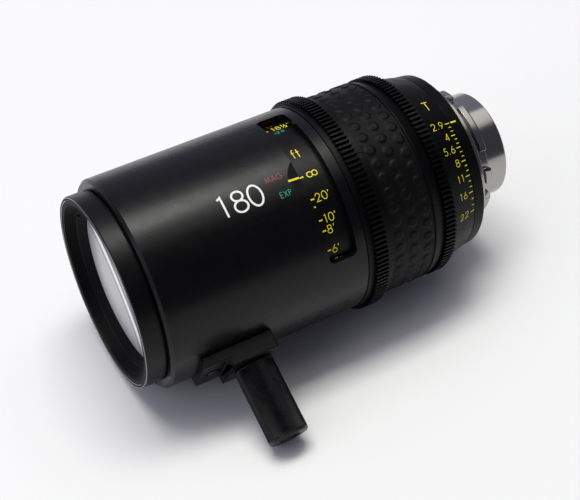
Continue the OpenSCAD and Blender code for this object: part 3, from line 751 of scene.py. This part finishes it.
@dataclass
class FrontEnd:
    """Front of the lens: the clamp ring with bright-cut edges, the stepped light baffle and the front glass.

    Args:
        ring_r: outer radius of the clamp ring.
        bevel: bevel round its rim.
        cut: width of the bright-cut edges.
        ledge_r: radius of the step in the rim's face.
        ledge: depth of that step.
        bore_r: bore at the rim.
        groove_s: front of the groove behind the ring.
        neck_r: radius of the neck inside the barrel.
        neck_end: rear of that neck.
        baffle_end: rear of the baffle.
        clear_r: radius of the baffle's rear edge.
        stop_s: front of the stop behind the second glass.
        stop_r: bore of that stop.
        glass_r: radius of the front glass.
        vertex_s: foremost point of the front glass.
        front_curve: radius of its front face.
        back_s: rearmost point of the front glass.
        back_curve: radius of its rear face.
    """

    ring_r: float = 47.5
    bevel: float = 0.7
    cut: float = 0.22
    ledge_r: float = 45.6
    ledge: float = 0.5
    bore_r: float = 43.6
    groove_s: float = 9.5
    neck_r: float = 46.4
    neck_end: float = 28.1
    baffle_end: float = 5.6
    clear_r: float = 40.1
    stop_s: float = 26.1
    stop_r: float = 36.7
    glass_r: float = 40.66
    vertex_s: float = 5.02
    front_curve: float = 150.0
    back_s: float = 19.9
    back_curve: float = 300.0

    def ring(self) -> None:
        """Turn the clamp ring: dyed outside, matt on the face, bare on two cut edges."""
        dyed, matt, bare = 0, 1, 2
        small = 0.05
        outline = [
            (self.ledge, self.bore_r, matt), (self.ledge, self.ledge_r, matt),
            (self.cut, self.ledge_r, bare), (0.0, self.ledge_r + self.cut, matt),
            (0.0, self.ring_r - self.bevel, bare), (self.cut, self.ring_r - self.bevel + self.cut, dyed),
            (self.bevel, self.ring_r - small, dyed), (self.bevel + small, self.ring_r, dyed),
            (self.groove_s - small, self.ring_r, dyed), (self.groove_s, self.ring_r - small, matt),
            (self.groove_s, self.neck_r, matt), (self.neck_end, self.neck_r, matt),
            (self.neck_end, self.stop_r, matt), (self.stop_s, self.stop_r, matt),
            (self.stop_s, self.glass_r + small, matt), (self.baffle_end, self.glass_r + small, matt),
            (self.baffle_end, self.bore_r, matt),
        ]
        piece = lathe("front_ring_turned", outline)
        seat(piece, Body.HOUSING, [DRUM, INNER, BRIGHT_CUT], ["front_ring"])

    def baffle(self) -> None:
        """Turn the cone and its row of shallow steps, whose lips and rear edge catch a line of light."""
        matt, satin, rubbed = 0, 1, 2
        steps, satin_steps, rise, lip, run = 7, 2, 0.28, 0.05, 0.1
        first_r = self.bore_r - run
        outline: list[tuple[float, float, int]] = []
        for step in range(steps):
            t = step / steps
            s = self.ledge + (self.baffle_end - self.ledge) * t
            r = first_r + (self.clear_r - first_r) * t
            lip_finish = satin if step < satin_steps else matt
            outline += [(s, r, matt), (s + lip, r - rise, lip_finish), (s + 3 * lip, r - rise, matt)]
        outline += [
            (self.baffle_end - 2 * lip, self.clear_r + lip, rubbed), (self.baffle_end, self.clear_r, matt),
            (self.baffle_end, self.clear_r + 6 * run, matt), (self.ledge + 4 * run, first_r + lip, matt),
        ]
        piece = lathe("front_baffle_stepped", outline)
        seat(piece, Body.HOUSING, [INNER, DRUM, SCREW_HEAD], ["front_baffle"])

    def glass(self) -> None:
        """Turn the front glass with polished faces and a blackened edge."""
        clear, black, steps = 0, 1, 40

        def drop(curve: float, r: float) -> float:
            """Depth of a round face at a radius."""
            return curve - math.sqrt(curve * curve - r * r)

        radii = [self.glass_r * step / steps for step in range(steps + 1)]
        front = [(self.vertex_s + drop(self.front_curve, r), r, clear) for r in radii[:-1]]
        edge = [(self.vertex_s + drop(self.front_curve, self.glass_r), self.glass_r, black)]
        back = [(self.back_s - drop(self.back_curve, r), r, clear) for r in reversed(radii)]
        piece = lathe("front_element_polished", front + edge + back)
        seat(piece, Body.HOUSING, [FRONT_GLASS, INNER], ["front_element"])

    def build(self) -> None:
        """Build the ring, the baffle and the glass."""
        self.ring()
        self.baffle()
        self.glass()


@dataclass
class Grip:
    """Rubber sleeve with three rows of low round bumps.

    Args:
        start_s: front end of the sleeve.
        length: length of the sleeve.
        skin_r: radius between the bumps.
        bump: height of a bump.
        bump_r: radius of a bump.
        bump_foot: where a bump's foot ends, in radii of the bump.
        shoulder: width of its soft shoulder, in radii of the bump.
        dish: share by which its top is dished.
        rows: rows of bumps.
        per_row: bumps in a row.
        phase: angle of a bump in the outer rows.
        bore_r: radius of the bore, just clear of the core.
        lip: rounding of the two ends.
        segments: facets round the sleeve.
        rings: facets along it.
    """

    start_s: float = 126.5
    length: float = 23.8
    skin_r: float = 51.3
    bump: float = 0.5
    bump_r: float = 2.5
    bump_foot: float = 1.2
    shoulder: float = 0.6
    dish: float = 0.08
    rows: int = 3
    per_row: int = 45
    phase: float = 5.3
    bore_r: float = 49.82
    lip: float = 0.25
    segments: int = 1080
    rings: int = 84

    def height(self, s: float, theta: float) -> float:
        """Raise a bump with a soft shoulder and a slightly dished top.

        Args:
            s: distance behind the front rim.
            theta: angle from the post, in degrees.

        Returns:
            Height of the bumps at that place.
        """
        pitch = 360.0 / self.per_row
        row_len = self.length / self.rows
        row = min(self.rows - 1, max(0, int((s - self.start_s) / row_len)))
        start = self.phase + (pitch / 2 if row % 2 else 0.0)
        turn = (theta - start + pitch / 2) % pitch - pitch / 2
        along = s - self.start_s - (row + 0.5) * row_len
        away = math.hypot(along, math.radians(turn) * self.skin_r) / self.bump_r
        rise = min(1.0, max(0.0, (self.bump_foot - away) / self.shoulder))
        top = 1.0 - self.dish * max(0.0, 1.0 - away / self.shoulder)
        return self.bump * rise * rise * (3 - 2 * rise) * top

    def build(self) -> None:
        """Build the sleeve as one closed skin."""
        rows = [self.start_s + self.length * index / self.rings for index in range(self.rings + 1)]
        end = self.start_s + self.length
        profile = [(s, self.skin_r - (self.lip if s in (self.start_s, end) else 0.0)) for s in rows]
        profile += [(end, self.bore_r), (self.start_s, self.bore_r)]

        def relief(index: int, theta: float) -> float:
            """Raise the bumps on the outer points only."""
            return self.height(rows[index], theta) if 0 < index < self.rings else 0.0

        piece = lathe("grip_rubber_sleeve", profile, segments=self.segments, relief=relief)
        seat(piece, Body.HOUSING, [RUBBER], ["grip_rubber"])


@dataclass
class Post:
    """Support post with a straight knurl, broken ends and a threaded hole.

    Args:
        centre_s: place of the post along the lens.
        base: distance of its foot from the axis.
        length: length of the post.
        radius: outer radius.
        bevel: bevel at the foot and, a little wider, at the tip.
        knurl_base: plain length before the knurl.
        knurl_tip: plain length after it.
        run: length over which the flutes reach their depth.
        flutes: teeth of the knurl.
        flute_depth: depth of the knurl.
        hole_r: radius of the thread's root.
        hole_depth: depth of the hole.
        hole_bevel: bevel at its mouth and step at its floor.
        drill_cone: depth of the drill's cone under the floor.
        pitch: pitch of the thread.
        thread: depth of the thread.
    """

    centre_s: float = 49.6
    base: float = 58.9
    length: float = 38.1
    radius: float = LENS.post_r
    bevel: float = 0.8
    knurl_base: float = 1.1
    knurl_tip: float = 1.5
    run: float = 0.4
    flutes: int = 62
    flute_depth: float = 0.5
    hole_r: float = 4.76
    hole_depth: float = 14.0
    hole_bevel: float = 0.6
    drill_cone: float = 2.2
    pitch: float = 1.5875
    thread: float = 0.55

    def build(self) -> None:
        """Build the post with its knurl between plain ends."""
        axis = Axis(LENS.point(self.centre_s, self.base, 0.0), LENS.post, Vector((1.0, 0.0, 0.0)), LENS.side)
        end, floor = self.length, self.length - self.hole_depth
        edge, soft, under, per_flute = 0.1, 0.05, 0.02, 6
        skin, knurl_end = self.radius - under, end - self.knurl_tip
        profile: list[Point2] = [
            (0.0, 0.0), (0.0, self.radius - self.bevel), (self.bevel, skin),
            (self.knurl_base, self.radius), (self.knurl_base + self.run, self.radius),
            (knurl_end - self.run, self.radius), (knurl_end, self.radius),
            (end - self.bevel, skin), (end - edge, self.radius - self.bevel + soft),
            (end, self.radius - self.bevel - soft), (end, self.hole_r + self.hole_bevel),
            (end - self.hole_bevel, self.hole_r),
        ]
        cut = [index for index, (s, _) in enumerate(profile) if self.knurl_base < s < knurl_end]
        turn = end - self.hole_bevel
        while turn - self.pitch > floor:
            profile += [(turn - self.pitch / 2, self.hole_r - self.thread), (turn - self.pitch, self.hole_r)]
            turn -= self.pitch
        profile += [(floor, self.hole_r - self.hole_bevel), (floor - self.drill_cone, 0.0)]

        def relief(index: int, theta: float) -> float:
            """Cut the flutes into the two inner rings of the knurl.

            Args:
                index: number of the point in the profile.
                theta: angle round the post.

            Returns:
                Extra radius there.
            """
            if index not in cut:
                return 0.0
            part = (theta * self.flutes / 360.0) % 1.0
            return -self.flute_depth * abs(2 * part - 1)

        piece = lathe("support_post_knurled", profile, axis, self.flutes * per_flute, relief)
        seat(piece, Body.HOUSING, [POST], ["support_post"])


@dataclass
class FootScrew:
    """Socket screw of the foot, sunk in a shallow counterbore, with painted shade in its ring and socket.

    Args:
        centre_s: place of the screw along the lens.
        face: distance of the foot's ledge from the axis.
        head_r: radius of the head.
        bore_r: radius of the counterbore.
        hex_r: radius of the hexagon's inner circle.
        hex_depth: depth of the hexagon.
        proud: height of the head over the ledge.
        root: depth of the screw under the ledge.
    """

    centre_s: float = 30.5
    face: float = 54.9
    head_r: float = 2.5
    bore_r: float = 3.5
    hex_r: float = 1.35
    hex_depth: float = 1.6
    proud: float = 0.45
    root: float = 2.0

    def build(self) -> None:
        """Turn the head with its six-sided socket and the ring round it, both dead black as painted shade."""
        axis = Axis(LENS.point(self.centre_s, self.face, 0.0), LENS.post, Vector((1.0, 0.0, 0.0)), LENS.side)
        # black marks the faces in painted shade: the socket, the head's side and the counterbore ring
        steel, black = 0, 1
        film, edge, segments = 0.06, 0.25, 96
        outline = [
            (self.proud - self.hex_depth, 0.0, black), (self.proud - self.hex_depth, self.hex_r, black),
            (self.proud, self.hex_r, steel), (self.proud, self.head_r - edge, steel),
            (self.proud - edge, self.head_r, black), (film, self.head_r, black), (film, self.bore_r, black),
            (-self.root, self.bore_r - edge, black), (-self.root, 0.0, black),
        ]
        socket = (1, 2)

        def relief(index: int, theta: float) -> float:
            """Push the socket's wall out to a hexagon.

            Args:
                index: number of the point in the outline.
                theta: angle round the screw.

            Returns:
                Extra radius there.
            """
            if index not in socket:
                return 0.0
            return self.hex_r * (1.0 / math.cos(math.radians(theta % 60.0 - 30.0)) - 1.0)

        piece = lathe("foot_screw_sunk", outline, axis, segments, relief)
        seat(piece, Body.HOUSING, [SCREW_HEAD, PAINTED_SHADE], ["foot_screw"])


# Lettering


def arc(cx: float, cy: float, rx: float, ry: float, start: float, end: float) -> Stroke:
    """Draw part of an ellipse.

    Args:
        cx: middle across.
        cy: middle upwards.
        rx: radius across.
        ry: radius upwards.
        start: first angle, in degrees.
        end: last angle, in degrees.

    Returns:
        Points along it.
    """
    fewest, step_deg = 6, 9
    count = max(fewest, int(abs(end - start) / step_deg))
    angles = [math.radians(start + (end - start) * step / count) for step in range(count + 1)]
    return [(cx + rx * math.cos(angle), cy + ry * math.sin(angle)) for angle in angles]


def turned_over(strokes: Sequence[Stroke], width: float) -> list[Stroke]:
    """Strokes turned by half a turn in a box of a width and unit height."""
    return [[(width - x, 1.0 - y) for x, y in stroke] for stroke in strokes]


def shrunk(strokes: Sequence[Stroke], scale: float, dx: float, dy: float) -> list[Stroke]:
    """Strokes made smaller and moved."""
    return [[(x * scale + dx, y * scale + dy) for x, y in stroke] for stroke in strokes]


ONE = [[(0.08, 0.9), (0.25, 1.0), (0.25, 0.0)]]
TWO = [arc(0.28, 0.71, 0.28, 0.29, 175, -32) + [(0.0, 0.0), (0.58, 0.0)]]
SIX = [[(0.42, 1.0), (0.05, 0.42)] + arc(0.29, 0.28, 0.29, 0.28, 150, 510)]
PRIME = [[(0.06, 1.0), (0.0, 0.74)]]

# Centre lines of each character in a box one unit high, with the box's width
GLYPHS: dict[str, tuple[float, list[Stroke]]] = {
    "0": (0.64, [arc(0.32, 0.5, 0.32, 0.5, 90, 450)]),
    "1": (0.38, ONE),
    "2": (0.58, TWO),
    "3": (0.54, [arc(0.25, 0.76, 0.22, 0.24, 160, -90), arc(0.26, 0.26, 0.28, 0.26, 90, -160)]),
    "4": (0.6, [[(0.44, 0.0), (0.44, 1.0), (0.0, 0.27), (0.6, 0.27)]]),
    "5": (0.56, [[(0.5, 1.0), (0.18, 1.0), (0.1, 0.56)] + arc(0.25, 0.31, 0.31, 0.31, 118, -145)]),
    "6": (0.58, SIX),
    "7": (0.56, [[(0.0, 1.0), (0.56, 1.0), (0.16, 0.0)]]),
    "8": (0.62, [arc(0.31, 0.77, 0.26, 0.23, 90, 450), arc(0.31, 0.27, 0.31, 0.27, 90, 450)]),
    "9": (0.58, turned_over(SIX, 0.58)),
    ".": (0.04, [[(0.02, 0.0), (0.02, 0.08)]]),
    ":": (0.04, [[(0.02, 0.1), (0.02, 0.2)], [(0.02, 0.6), (0.02, 0.7)]]),
    "+": (0.5, [[(0.0, 0.45), (0.5, 0.45)], [(0.25, 0.2), (0.25, 0.7)]]),
    "'": (0.08, PRIME),
    '"': (0.3, PRIME + shrunk(PRIME, 1.0, 0.22, 0.0)),
    "½": (0.75, shrunk(ONE, 0.5, 0.0, 0.5) + [[(0.12, 0.0), (0.6, 1.0)]] + shrunk(TWO, 0.5, 0.46, 0.0)),
    "∞": (1.1, [arc(0.29, 0.5, 0.29, 0.27, 0, 360), arc(0.83, 0.5, 0.27, 0.27, 180, 540)]),
    "T": (0.62, [[(0.0, 1.0), (0.62, 1.0)], [(0.31, 1.0), (0.31, 0.0)]]),
    "f": (
        0.34,
        [[(0.34, 0.98)] + arc(0.3, 0.78, 0.17, 0.2, 95, 180) + [(0.13, 0.0)], [(0.0, 0.62), (0.3, 0.62)]],
    ),
    "t": (0.3, [[(0.14, 0.95), (0.14, 0.0)], [(0.0, 0.62), (0.3, 0.62)]]),
    "M": (0.86, [[(0.0, 0.0), (0.13, 1.0), (0.43, 0.12), (0.73, 1.0), (0.86, 0.0)]]),
    "A": (0.78, [[(0.0, 0.0), (0.39, 1.0), (0.78, 0.0)], [(0.14, 0.33), (0.64, 0.33)]]),
    "G": (0.94, [arc(0.48, 0.5, 0.48, 0.5, 42, 345) + [(0.94, 0.46), (0.56, 0.46)]]),
    "E": (0.46, [[(0.46, 1.0), (0.0, 1.0), (0.0, 0.0), (0.46, 0.0)], [(0.0, 0.52), (0.42, 0.52)]]),
    "X": (0.58, [[(0.0, 1.0), (0.58, 0.0)], [(0.58, 1.0), (0.0, 0.0)]]),
    "P": (0.44, [[(0.0, 0.0), (0.0, 1.0)] + arc(0.2, 0.76, 0.24, 0.24, 90, -90) + [(0.0, 0.52)]]),
}


@dataclass
class Scale:
    """Painted marks on one round surface, gathered into one piece for each paint.

    Args:
        name: start of the pieces' names.
        body: body that carries the marks.
        slot: part slot that they belong to; not used.
        radius: radius of the surface at a distance from the front.
        proud: height of the paint over the surface.
        sunk: depth of the paint under the surface.
        stack: step in height between strokes that cross.
        stacks: number of such steps.
        points: corners laid so far, by paint.
        faces: faces laid so far, by paint.
        layer: step of the last stroke.
    """

    name: str
    body: Body
    slot: str
    radius: Callable[[float], float]
    proud: float = 0.03
    sunk: float = 0.12
    stack: float = 0.003
    stacks: int = 5
    points: dict[Paint, list[Vector]] = field(default_factory=dict)
    faces: dict[Paint, list[tuple[int, ...]]] = field(default_factory=dict)
    layer: int = 0

    def ribbon(self, line: Stroke, width: float, s: float, theta: float, paint: Paint) -> None:
        """Lay a stroke of constant width on the surface.

        Args:
            line: points of the stroke, x along the lens and y against the angle.
            width: width of the stroke.
            s: distance from the front of the stroke's origin.
            theta: angle of the stroke's origin.
            paint: its paint.
        """
        path = self.divided(line)
        shortest_loop, same_place = 8, 1e-6
        closed = len(path) > shortest_loop and math.dist(path[0], path[-1]) < same_place
        if closed:
            path = path[:-1]
        sides = self.sides(path, width / 2, closed)
        self.layer = (self.layer + 1) % self.stacks
        lift = self.proud + self.stack * self.layer
        points = self.points.setdefault(paint, [])
        faces = self.faces.setdefault(paint, [])
        base = len(points)
        for left, right in sides:
            for (x, y), raise_by in ((left, lift), (right, lift), (right, -self.sunk), (left, -self.sunk)):
                reach = self.radius(s + x)
                points.append(LENS.point(s + x, reach + raise_by, theta - math.degrees(y / reach)))
        count = len(sides)
        for index in range(count if closed else count - 1):
            here, there = base + 4 * index, base + 4 * ((index + 1) % count)
            for corner in range(4):
                after = (corner + 1) % 4
                faces.append((here + corner, here + after, there + after, there + corner))
        if not closed:
            last = base + 4 * (count - 1)
            faces.append((base, base + 1, base + 2, base + 3))
            faces.append((last + 3, last + 2, last + 1, last))

    @staticmethod
    def divided(line: Stroke, longest: float = 0.7) -> Stroke:
        """Split long spans so that a stroke follows the round surface.

        Args:
            line: points of the stroke.
            longest: longest span that stays.

        Returns:
            The points with those between them.
        """
        out = [line[0]]
        for (x0, y0), (x1, y1) in zip(line, line[1:]):
            count = max(1, math.ceil(math.hypot(x1 - x0, y1 - y0) / longest))
            for step in range(1, count + 1):
                out.append((x0 + (x1 - x0) * step / count, y0 + (y1 - y0) * step / count))
        return out

    @staticmethod
    def sides(path: Stroke, half: float, closed: bool) -> list[tuple[Point2, Point2]]:
        """Find the two edges of a stroke, with mitred corners.

        Args:
            path: points of the stroke.
            half: half its width.
            closed: whether its ends meet.

        Returns:
            Left and right edge at each point.
        """
        nothing, opposite, least_cosine = 1e-9, 1e-6, 0.42
        count = len(path)
        out = []
        for index, (x, y) in enumerate(path):
            before = path[index - 1] if index or closed else path[index]
            after = path[(index + 1) % count] if index < count - 1 or closed else path[index]
            first = Vector((x - before[0], y - before[1]))
            second = Vector((after[0] - x, after[1] - y))
            first = first.normalized() if first.length > nothing else second.normalized()
            second = second.normalized() if second.length > nothing else first
            mean = (first + second).normalized() if (first + second).length > opposite else second
            reach = half / max(least_cosine, mean.dot(first))
            out.append(((x - mean.y * reach, y + mean.x * reach), (x + mean.y * reach, y - mean.x * reach)))
        return out

    def write(
        self, text: str, s: float, theta: float, tall: float, width: float, paint: Paint = Paint.WHITE,
        right: bool = False, gap: float = 0.16,
    ) -> None:
        """Write a line of text that reads towards the rear.

        Args:
            text: characters to write.
            s: distance of its left end, or of its right end.
            theta: angle of the middle of the text.
            tall: height over the strokes.
            width: width of a stroke.
            paint: its paint.
            right: whether s is the right end.
            gap: space between characters, in heights.
        """
        scale = tall - width
        step = gap * scale + width
        spans = [GLYPHS[letter][0] * scale for letter in text]
        x = width / 2 - (sum(spans) + step * (len(text) - 1) + width if right else 0.0)
        for letter, span in zip(text, spans):
            for stroke in GLYPHS[letter][1]:
                line = [(x + px * scale, py * scale - scale / 2) for px, py in stroke]
                self.ribbon(line, width, s, theta, paint)
            x += span + step

    def tick(self, start: float, end: float, theta: float, width: float) -> None:
        """Draw a yellow line along the lens."""
        self.ribbon([(0.0, 0.0), (end - start, 0.0)], width, start, theta, Paint.YELLOW)

    def build(self) -> None:
        """Make one piece for each paint that was used."""
        for paint, points in self.points.items():
            piece = as_object(f"{self.name}_{paint.name.lower()}", points, self.faces[paint])
            finish = FilledPaint(f"paint_filled_{paint.name.lower()}", paint.value, 0.5, 0.0, 0.4, 0.004)
            seat(piece, self.body, [finish])


def cone(start_s: float, start_r: float, slope: float) -> Callable[[float], float]:
    """Radius of a surface that narrows from a place towards the rear."""
    return lambda s: start_r - max(0.0, s - start_s) * slope


@dataclass
class Marks:
    """All painted marks of the lens.

    Args:
        barrel_r: radius of the barrel.
        flat_s: front of the bevelled flat with the focus index.
        flat_slope: slope of that flat.
        drum_r: radius of the drum under the window.
        infinity: angle of the first mark on the drum.
        iris_s: front of the iris ring's cone.
        iris_r: radius of the cone there.
        iris_slope: slope of the cone.
        index_s: front of the index ring.
        index_r: radius of the index ring there.
        index_slope: slope of the index ring.
        index_theta: angle of the stop index and of the first stop.
    """

    barrel_r: float = 52.0
    flat_s: float = 87.7
    flat_slope: float = 0.155
    drum_r: float = 48.5
    infinity: float = -91.7
    iris_s: float = 162.1
    iris_r: float = 49.5
    iris_slope: float = 3.5 / 14.5
    index_s: float = 176.9
    index_r: float = 46.0
    index_slope: float = 0.8 / 5.9
    index_theta: float = -90.6

    def barrel(self) -> None:
        """Focal length, the two legends of the close scale and the focus index."""
        surface = cone(self.flat_s, self.barrel_r, self.flat_slope)
        scale = Scale("barrel_marks", Body.HOUSING, "barrel_anodised", surface)
        for digit, s in (("1", 51.5), ("8", 58.5), ("0", 66.4)):
            scale.write(digit, s, -90.55, tall=11.1, width=0.98)
        scale.write("MAG", 77.3, -95.4, tall=2.95, width=0.25, paint=Paint.RED, gap=0.15)
        scale.write("EXP", 80.6, -85.6, tall=2.9, width=0.25, paint=Paint.GREEN, gap=0.2)
        scale.tick(87.2, 92.85, theta=-91.0, width=1.0)
        scale.build()

    def distance(self) -> None:
        """Distance scale on the drum, with the close scale's ratios and exposure steps."""
        scale = Scale("distance_scale", Body.FOCUS, "drum_anodised", lambda s: self.drum_r)
        line_end, line_width, stroke = 96.2, 0.75, 0.36
        small_s, small_turn, small_tall, small_stroke = 97.4, 4.7, 2.1, 0.28
        scale.write("ft", 96.6, -106.6, tall=5.4, width=0.46, paint=Paint.YELLOW, gap=0.06)
        scale.write("∞", 97.8, self.infinity, tall=5.2, width=0.5, paint=Paint.YELLOW)
        marks = [
            (13.4, "20'"), (25.5, "10'"), (31.6, "8'"), (43.0, "6'"), (51.2, "5'"), (66.0, "4'"),
            (78.0, "3'6\""), (96.0, "3'"), (126.0, "2'6\""), (150.0, "2'3\""), (184.0, "2'"),
            (215.0, "22\""), (262.0, "20\""), (296.0, "19\""), (320.0, "18½\""),
        ]
        ratios = {184.0: ("1:3", "+0.7"), 215.0: ("1:2", "+1.0"), 262.0: ("1:1.5", "+1.3"),
                  296.0: ("1:1.2", "+1.7"), 320.0: ("1:1", "+2.0")}
        scale.tick(93.4, line_end, self.infinity, line_width)
        scale.tick(94.5, 95.3, self.infinity + 17.7, line_width)
        for turn, text in marks:
            theta = self.infinity + turn
            scale.tick(93.6, line_end, theta, line_width)
            text_s, tall = (98.0, 3.7) if turn in ratios else (96.9, 4.15)
            scale.write(text, text_s, theta, tall, stroke, Paint.YELLOW)
            if turn in ratios:
                ratio, step = ratios[turn]
                scale.write(ratio, small_s, theta - small_turn, small_tall, small_stroke, Paint.RED)
                scale.write(step, small_s, theta + small_turn, small_tall, small_stroke, Paint.GREEN)
        scale.build()

    def stops(self) -> None:
        """Stop scale on the iris ring's cone and the fixed index behind it."""
        surface = cone(self.iris_s, self.iris_r, self.iris_slope)
        scale = Scale("stop_scale", Body.IRIS, "gear_anodised", surface)
        first, line_end = self.index_theta, 176.2
        stops = {"2.9": first, "4": -82.7, "5.6": -75.0, "8": -66.6, "11": -57.3, "16": -46.8, "22": -33.8}
        for text, theta in stops.items():
            scale.tick(173.6, line_end, theta, width=0.45)
            scale.write(text, 172.3, theta, tall=3.75, width=0.3, paint=Paint.YELLOW, right=True, gap=0.27)
        for theta in (-88.0, -85.4, -80.2, -77.5, -72.1, -69.4, -63.5, -60.4, -53.8, -50.2, -42.3, -38.0):
            scale.tick(174.7, line_end, theta, width=0.38)
        scale.write("T", 168.4, -105.1, tall=5.6, width=0.5, paint=Paint.YELLOW)
        scale.build()
        surface = cone(self.index_s, self.index_r, self.index_slope)
        index = Scale("stop_index", Body.HOUSING, "ring_anodised", surface)
        index.tick(177.1, 180.2, self.index_theta, width=0.8)
        index.build()

    def build(self) -> None:
        """Paint the barrel, the drum, the iris ring and the index ring."""
        self.barrel()
        self.distance()
        self.stops()


# Studio


@dataclass
class Studio:
    """Floor, lamps and camera round the lens.

    Args:
        floor_z: height of the floor.
        floor_reach: half the floor's width, in metres.
        aim: point that the lamps look at, in metres.
        room_way: side of the room that is brighter.
        room_levels: strength of the room's light on the dim and on the bright side.
        room_edge: where the dim side ends and where the bright one begins, along room_way.
        lens_mm: focal length of the camera.
        sensor_mm: width of its sensor.
        eye: place of the camera, in metres.
        picture_right: way to the picture's right, along the lens, the post and the side of the lens.
        picture_down: way down the picture, along the same three.
    """

    floor_z: float = -LENS.gear_r
    floor_reach: float = 14.0
    aim: tuple[float, float, float] = (-0.1, 0.0, 0.0)
    room_way: tuple[float, float, float] = (-0.6, 0.8, 0.0)
    room_levels: Point2 = (0.11, 0.46)
    room_edge: Point2 = (-0.6, 0.35)
    lens_mm: float = 83.87
    sensor_mm: float = 36.0
    eye: tuple[float, float, float] = (-0.3272, -0.4329, 0.4387)
    picture_right: tuple[float, float, float] = (0.86864, 0.45018, 0.207)
    picture_down: tuple[float, float, float] = (-0.35934, 0.85994, -0.363)

    def floor(self) -> None:
        """Lay a wide pale floor under the lens."""
        reach, z = self.floor_reach, self.floor_z * MM
        signs = ((-1, -1), (1, -1), (1, 1), (-1, 1))
        corners = [Vector((reach * x, reach * y, z)) for x, y in signs]
        piece = as_object("studio_floor", corners, [(0, 1, 2, 3)])
        dress(piece, FLOOR)

    def lamp(self, name: str, place: Sequence[float], size: Point2, power: float, tint: str) -> None:
        """Hang a softbox that looks at the lens.

        Args:
            name: name of the lamp.
            place: its middle, in metres.
            size: width and height, in metres.
            power: power in watts.
            tint: sRGB colour of its light.
        """
        light = bpy.data.lights.new(name, "AREA")
        light.shape = "RECTANGLE"
        light.size, light.size_y = size
        light.energy = power
        light.color = linear(tint)[:3]
        piece = placed(name, light)
        piece.location = place
        piece.rotation_euler = (Vector(self.aim) - Vector(place)).to_track_quat("-Z", "Y").to_euler()

    def lamps(self) -> None:
        """Hang the softboxes and set the dim light of the room."""
        self.lamp("softbox_above", (0.0, 0.4, 3.05), (4.2, 2.4), 34.0, "#fffff8")
        self.lamp("softbox_core", (-0.1, 0.4, 3.0), (2.2, 0.85), 62.5, "#fffff8")
        self.lamp("card_left", (-2.6, -0.3, 1.6), (2.2, 1.6), 14.0, "#f6f4ff")
        world = bpy.data.worlds.new("studio_room")
        world.use_nodes = True
        tree = world.node_tree
        place = add_node(tree, "ShaderNodeTexCoord").outputs["Generated"]
        way = add_node(tree, "ShaderNodeVectorMath", {0: place, 1: self.room_way}, operation="DOT_PRODUCT")
        level = add_node(
            tree, "ShaderNodeMapRange",
            {"Value": way.outputs["Value"], "From Min": self.room_edge[0], "From Max": self.room_edge[1],
             "To Min": self.room_levels[0], "To Max": self.room_levels[1]},
            interpolation_type="SMOOTHSTEP",
        )
        background = tree.nodes["Background"]
        background.inputs["Color"].default_value = linear("#dadaf8")
        tree.links.new(level.outputs["Result"], background.inputs["Strength"])
        bpy.context.scene.world = world

    def camera(self) -> None:
        """Place the camera where the photograph was taken from."""
        data = bpy.data.cameras.new("studio_camera")
        data.lens = self.lens_mm
        data.sensor_width = self.sensor_mm
        data.sensor_fit = "HORIZONTAL"
        data.clip_end = 60.0
        axes = (Vector((1.0, 0.0, 0.0)), LENS.post, LENS.side)
        ways = (self.picture_right, self.picture_down)
        right, down = (sum((a * part for a, part in zip(axes, way)), Vector()).normalized() for way in ways)
        back = right.cross(-down).normalized()
        turn = Matrix((right, -down, back)).transposed().to_4x4()
        piece = placed("studio_camera", data)
        piece.matrix_world = Matrix.Translation(Vector(self.eye)) @ turn
        bpy.context.scene.camera = piece

    def build(self) -> None:
        """Set up the whole studio and the plain view settings."""
        self.floor()
        self.lamps()
        self.camera()
        bpy.context.scene.view_settings.view_transform = "Standard"


def on_foot_side(point: Vector, half_width: float = 15.0) -> bool:
    """Whether a point lies on one of the foot's two long sides."""
    return abs(point.dot(LENS.side)) > half_width * MM


EASED: tuple[EasedPiece, ...] = (
    EasedPiece("front_barrel", 0.4, Body.HOUSING, "barrel_anodised", BARREL),
    EasedPiece("focus_gear", 0.1, Body.FOCUS, "gear_anodised", GEAR),
    EasedPiece("cove_ring", 0.18, Body.HOUSING, "ring_anodised", RING),
    EasedPiece("iris_ring", 0.1, Body.IRIS, "gear_anodised", GEAR),
    EasedPiece("index_ring", 0.18, Body.HOUSING, "ring_anodised", RING),
    EasedPiece("mount_flange", 0.18, Body.HOUSING, "mount_steel", STEEL),
    *(
        EasedPiece(glass, 0.15, body, "inner_glass", INNER_GLASS)
        for glass, body in (
            ("second_element", Body.HOUSING),
            ("focus_element_front", Body.GROUP), ("focus_element_rear", Body.GROUP),
            ("rear_element_inner", Body.HOUSING), ("rear_element_outer", Body.HOUSING),
        )
    ),
    EasedPiece("support_foot", 0.5, Body.HOUSING, "foot_anodised", FOOT, on_foot_side),
)


def main(frame: dict[str, Any]) -> None:
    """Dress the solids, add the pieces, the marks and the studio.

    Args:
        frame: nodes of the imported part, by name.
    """
    logging.basicConfig(level=logging.INFO, format="%(name)s: %(message)s")
    nodes = frame["nodes"]
    Solids(nodes).dress_all()
    for eased in EASED:
        eased.build(nodes)
    FrontEnd().build()
    Grip().build()
    Post().build()
    FootScrew().build()
    Marks().build()
    Studio().build()


if __name__ == "__main__":
    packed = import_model()
    main(packed)
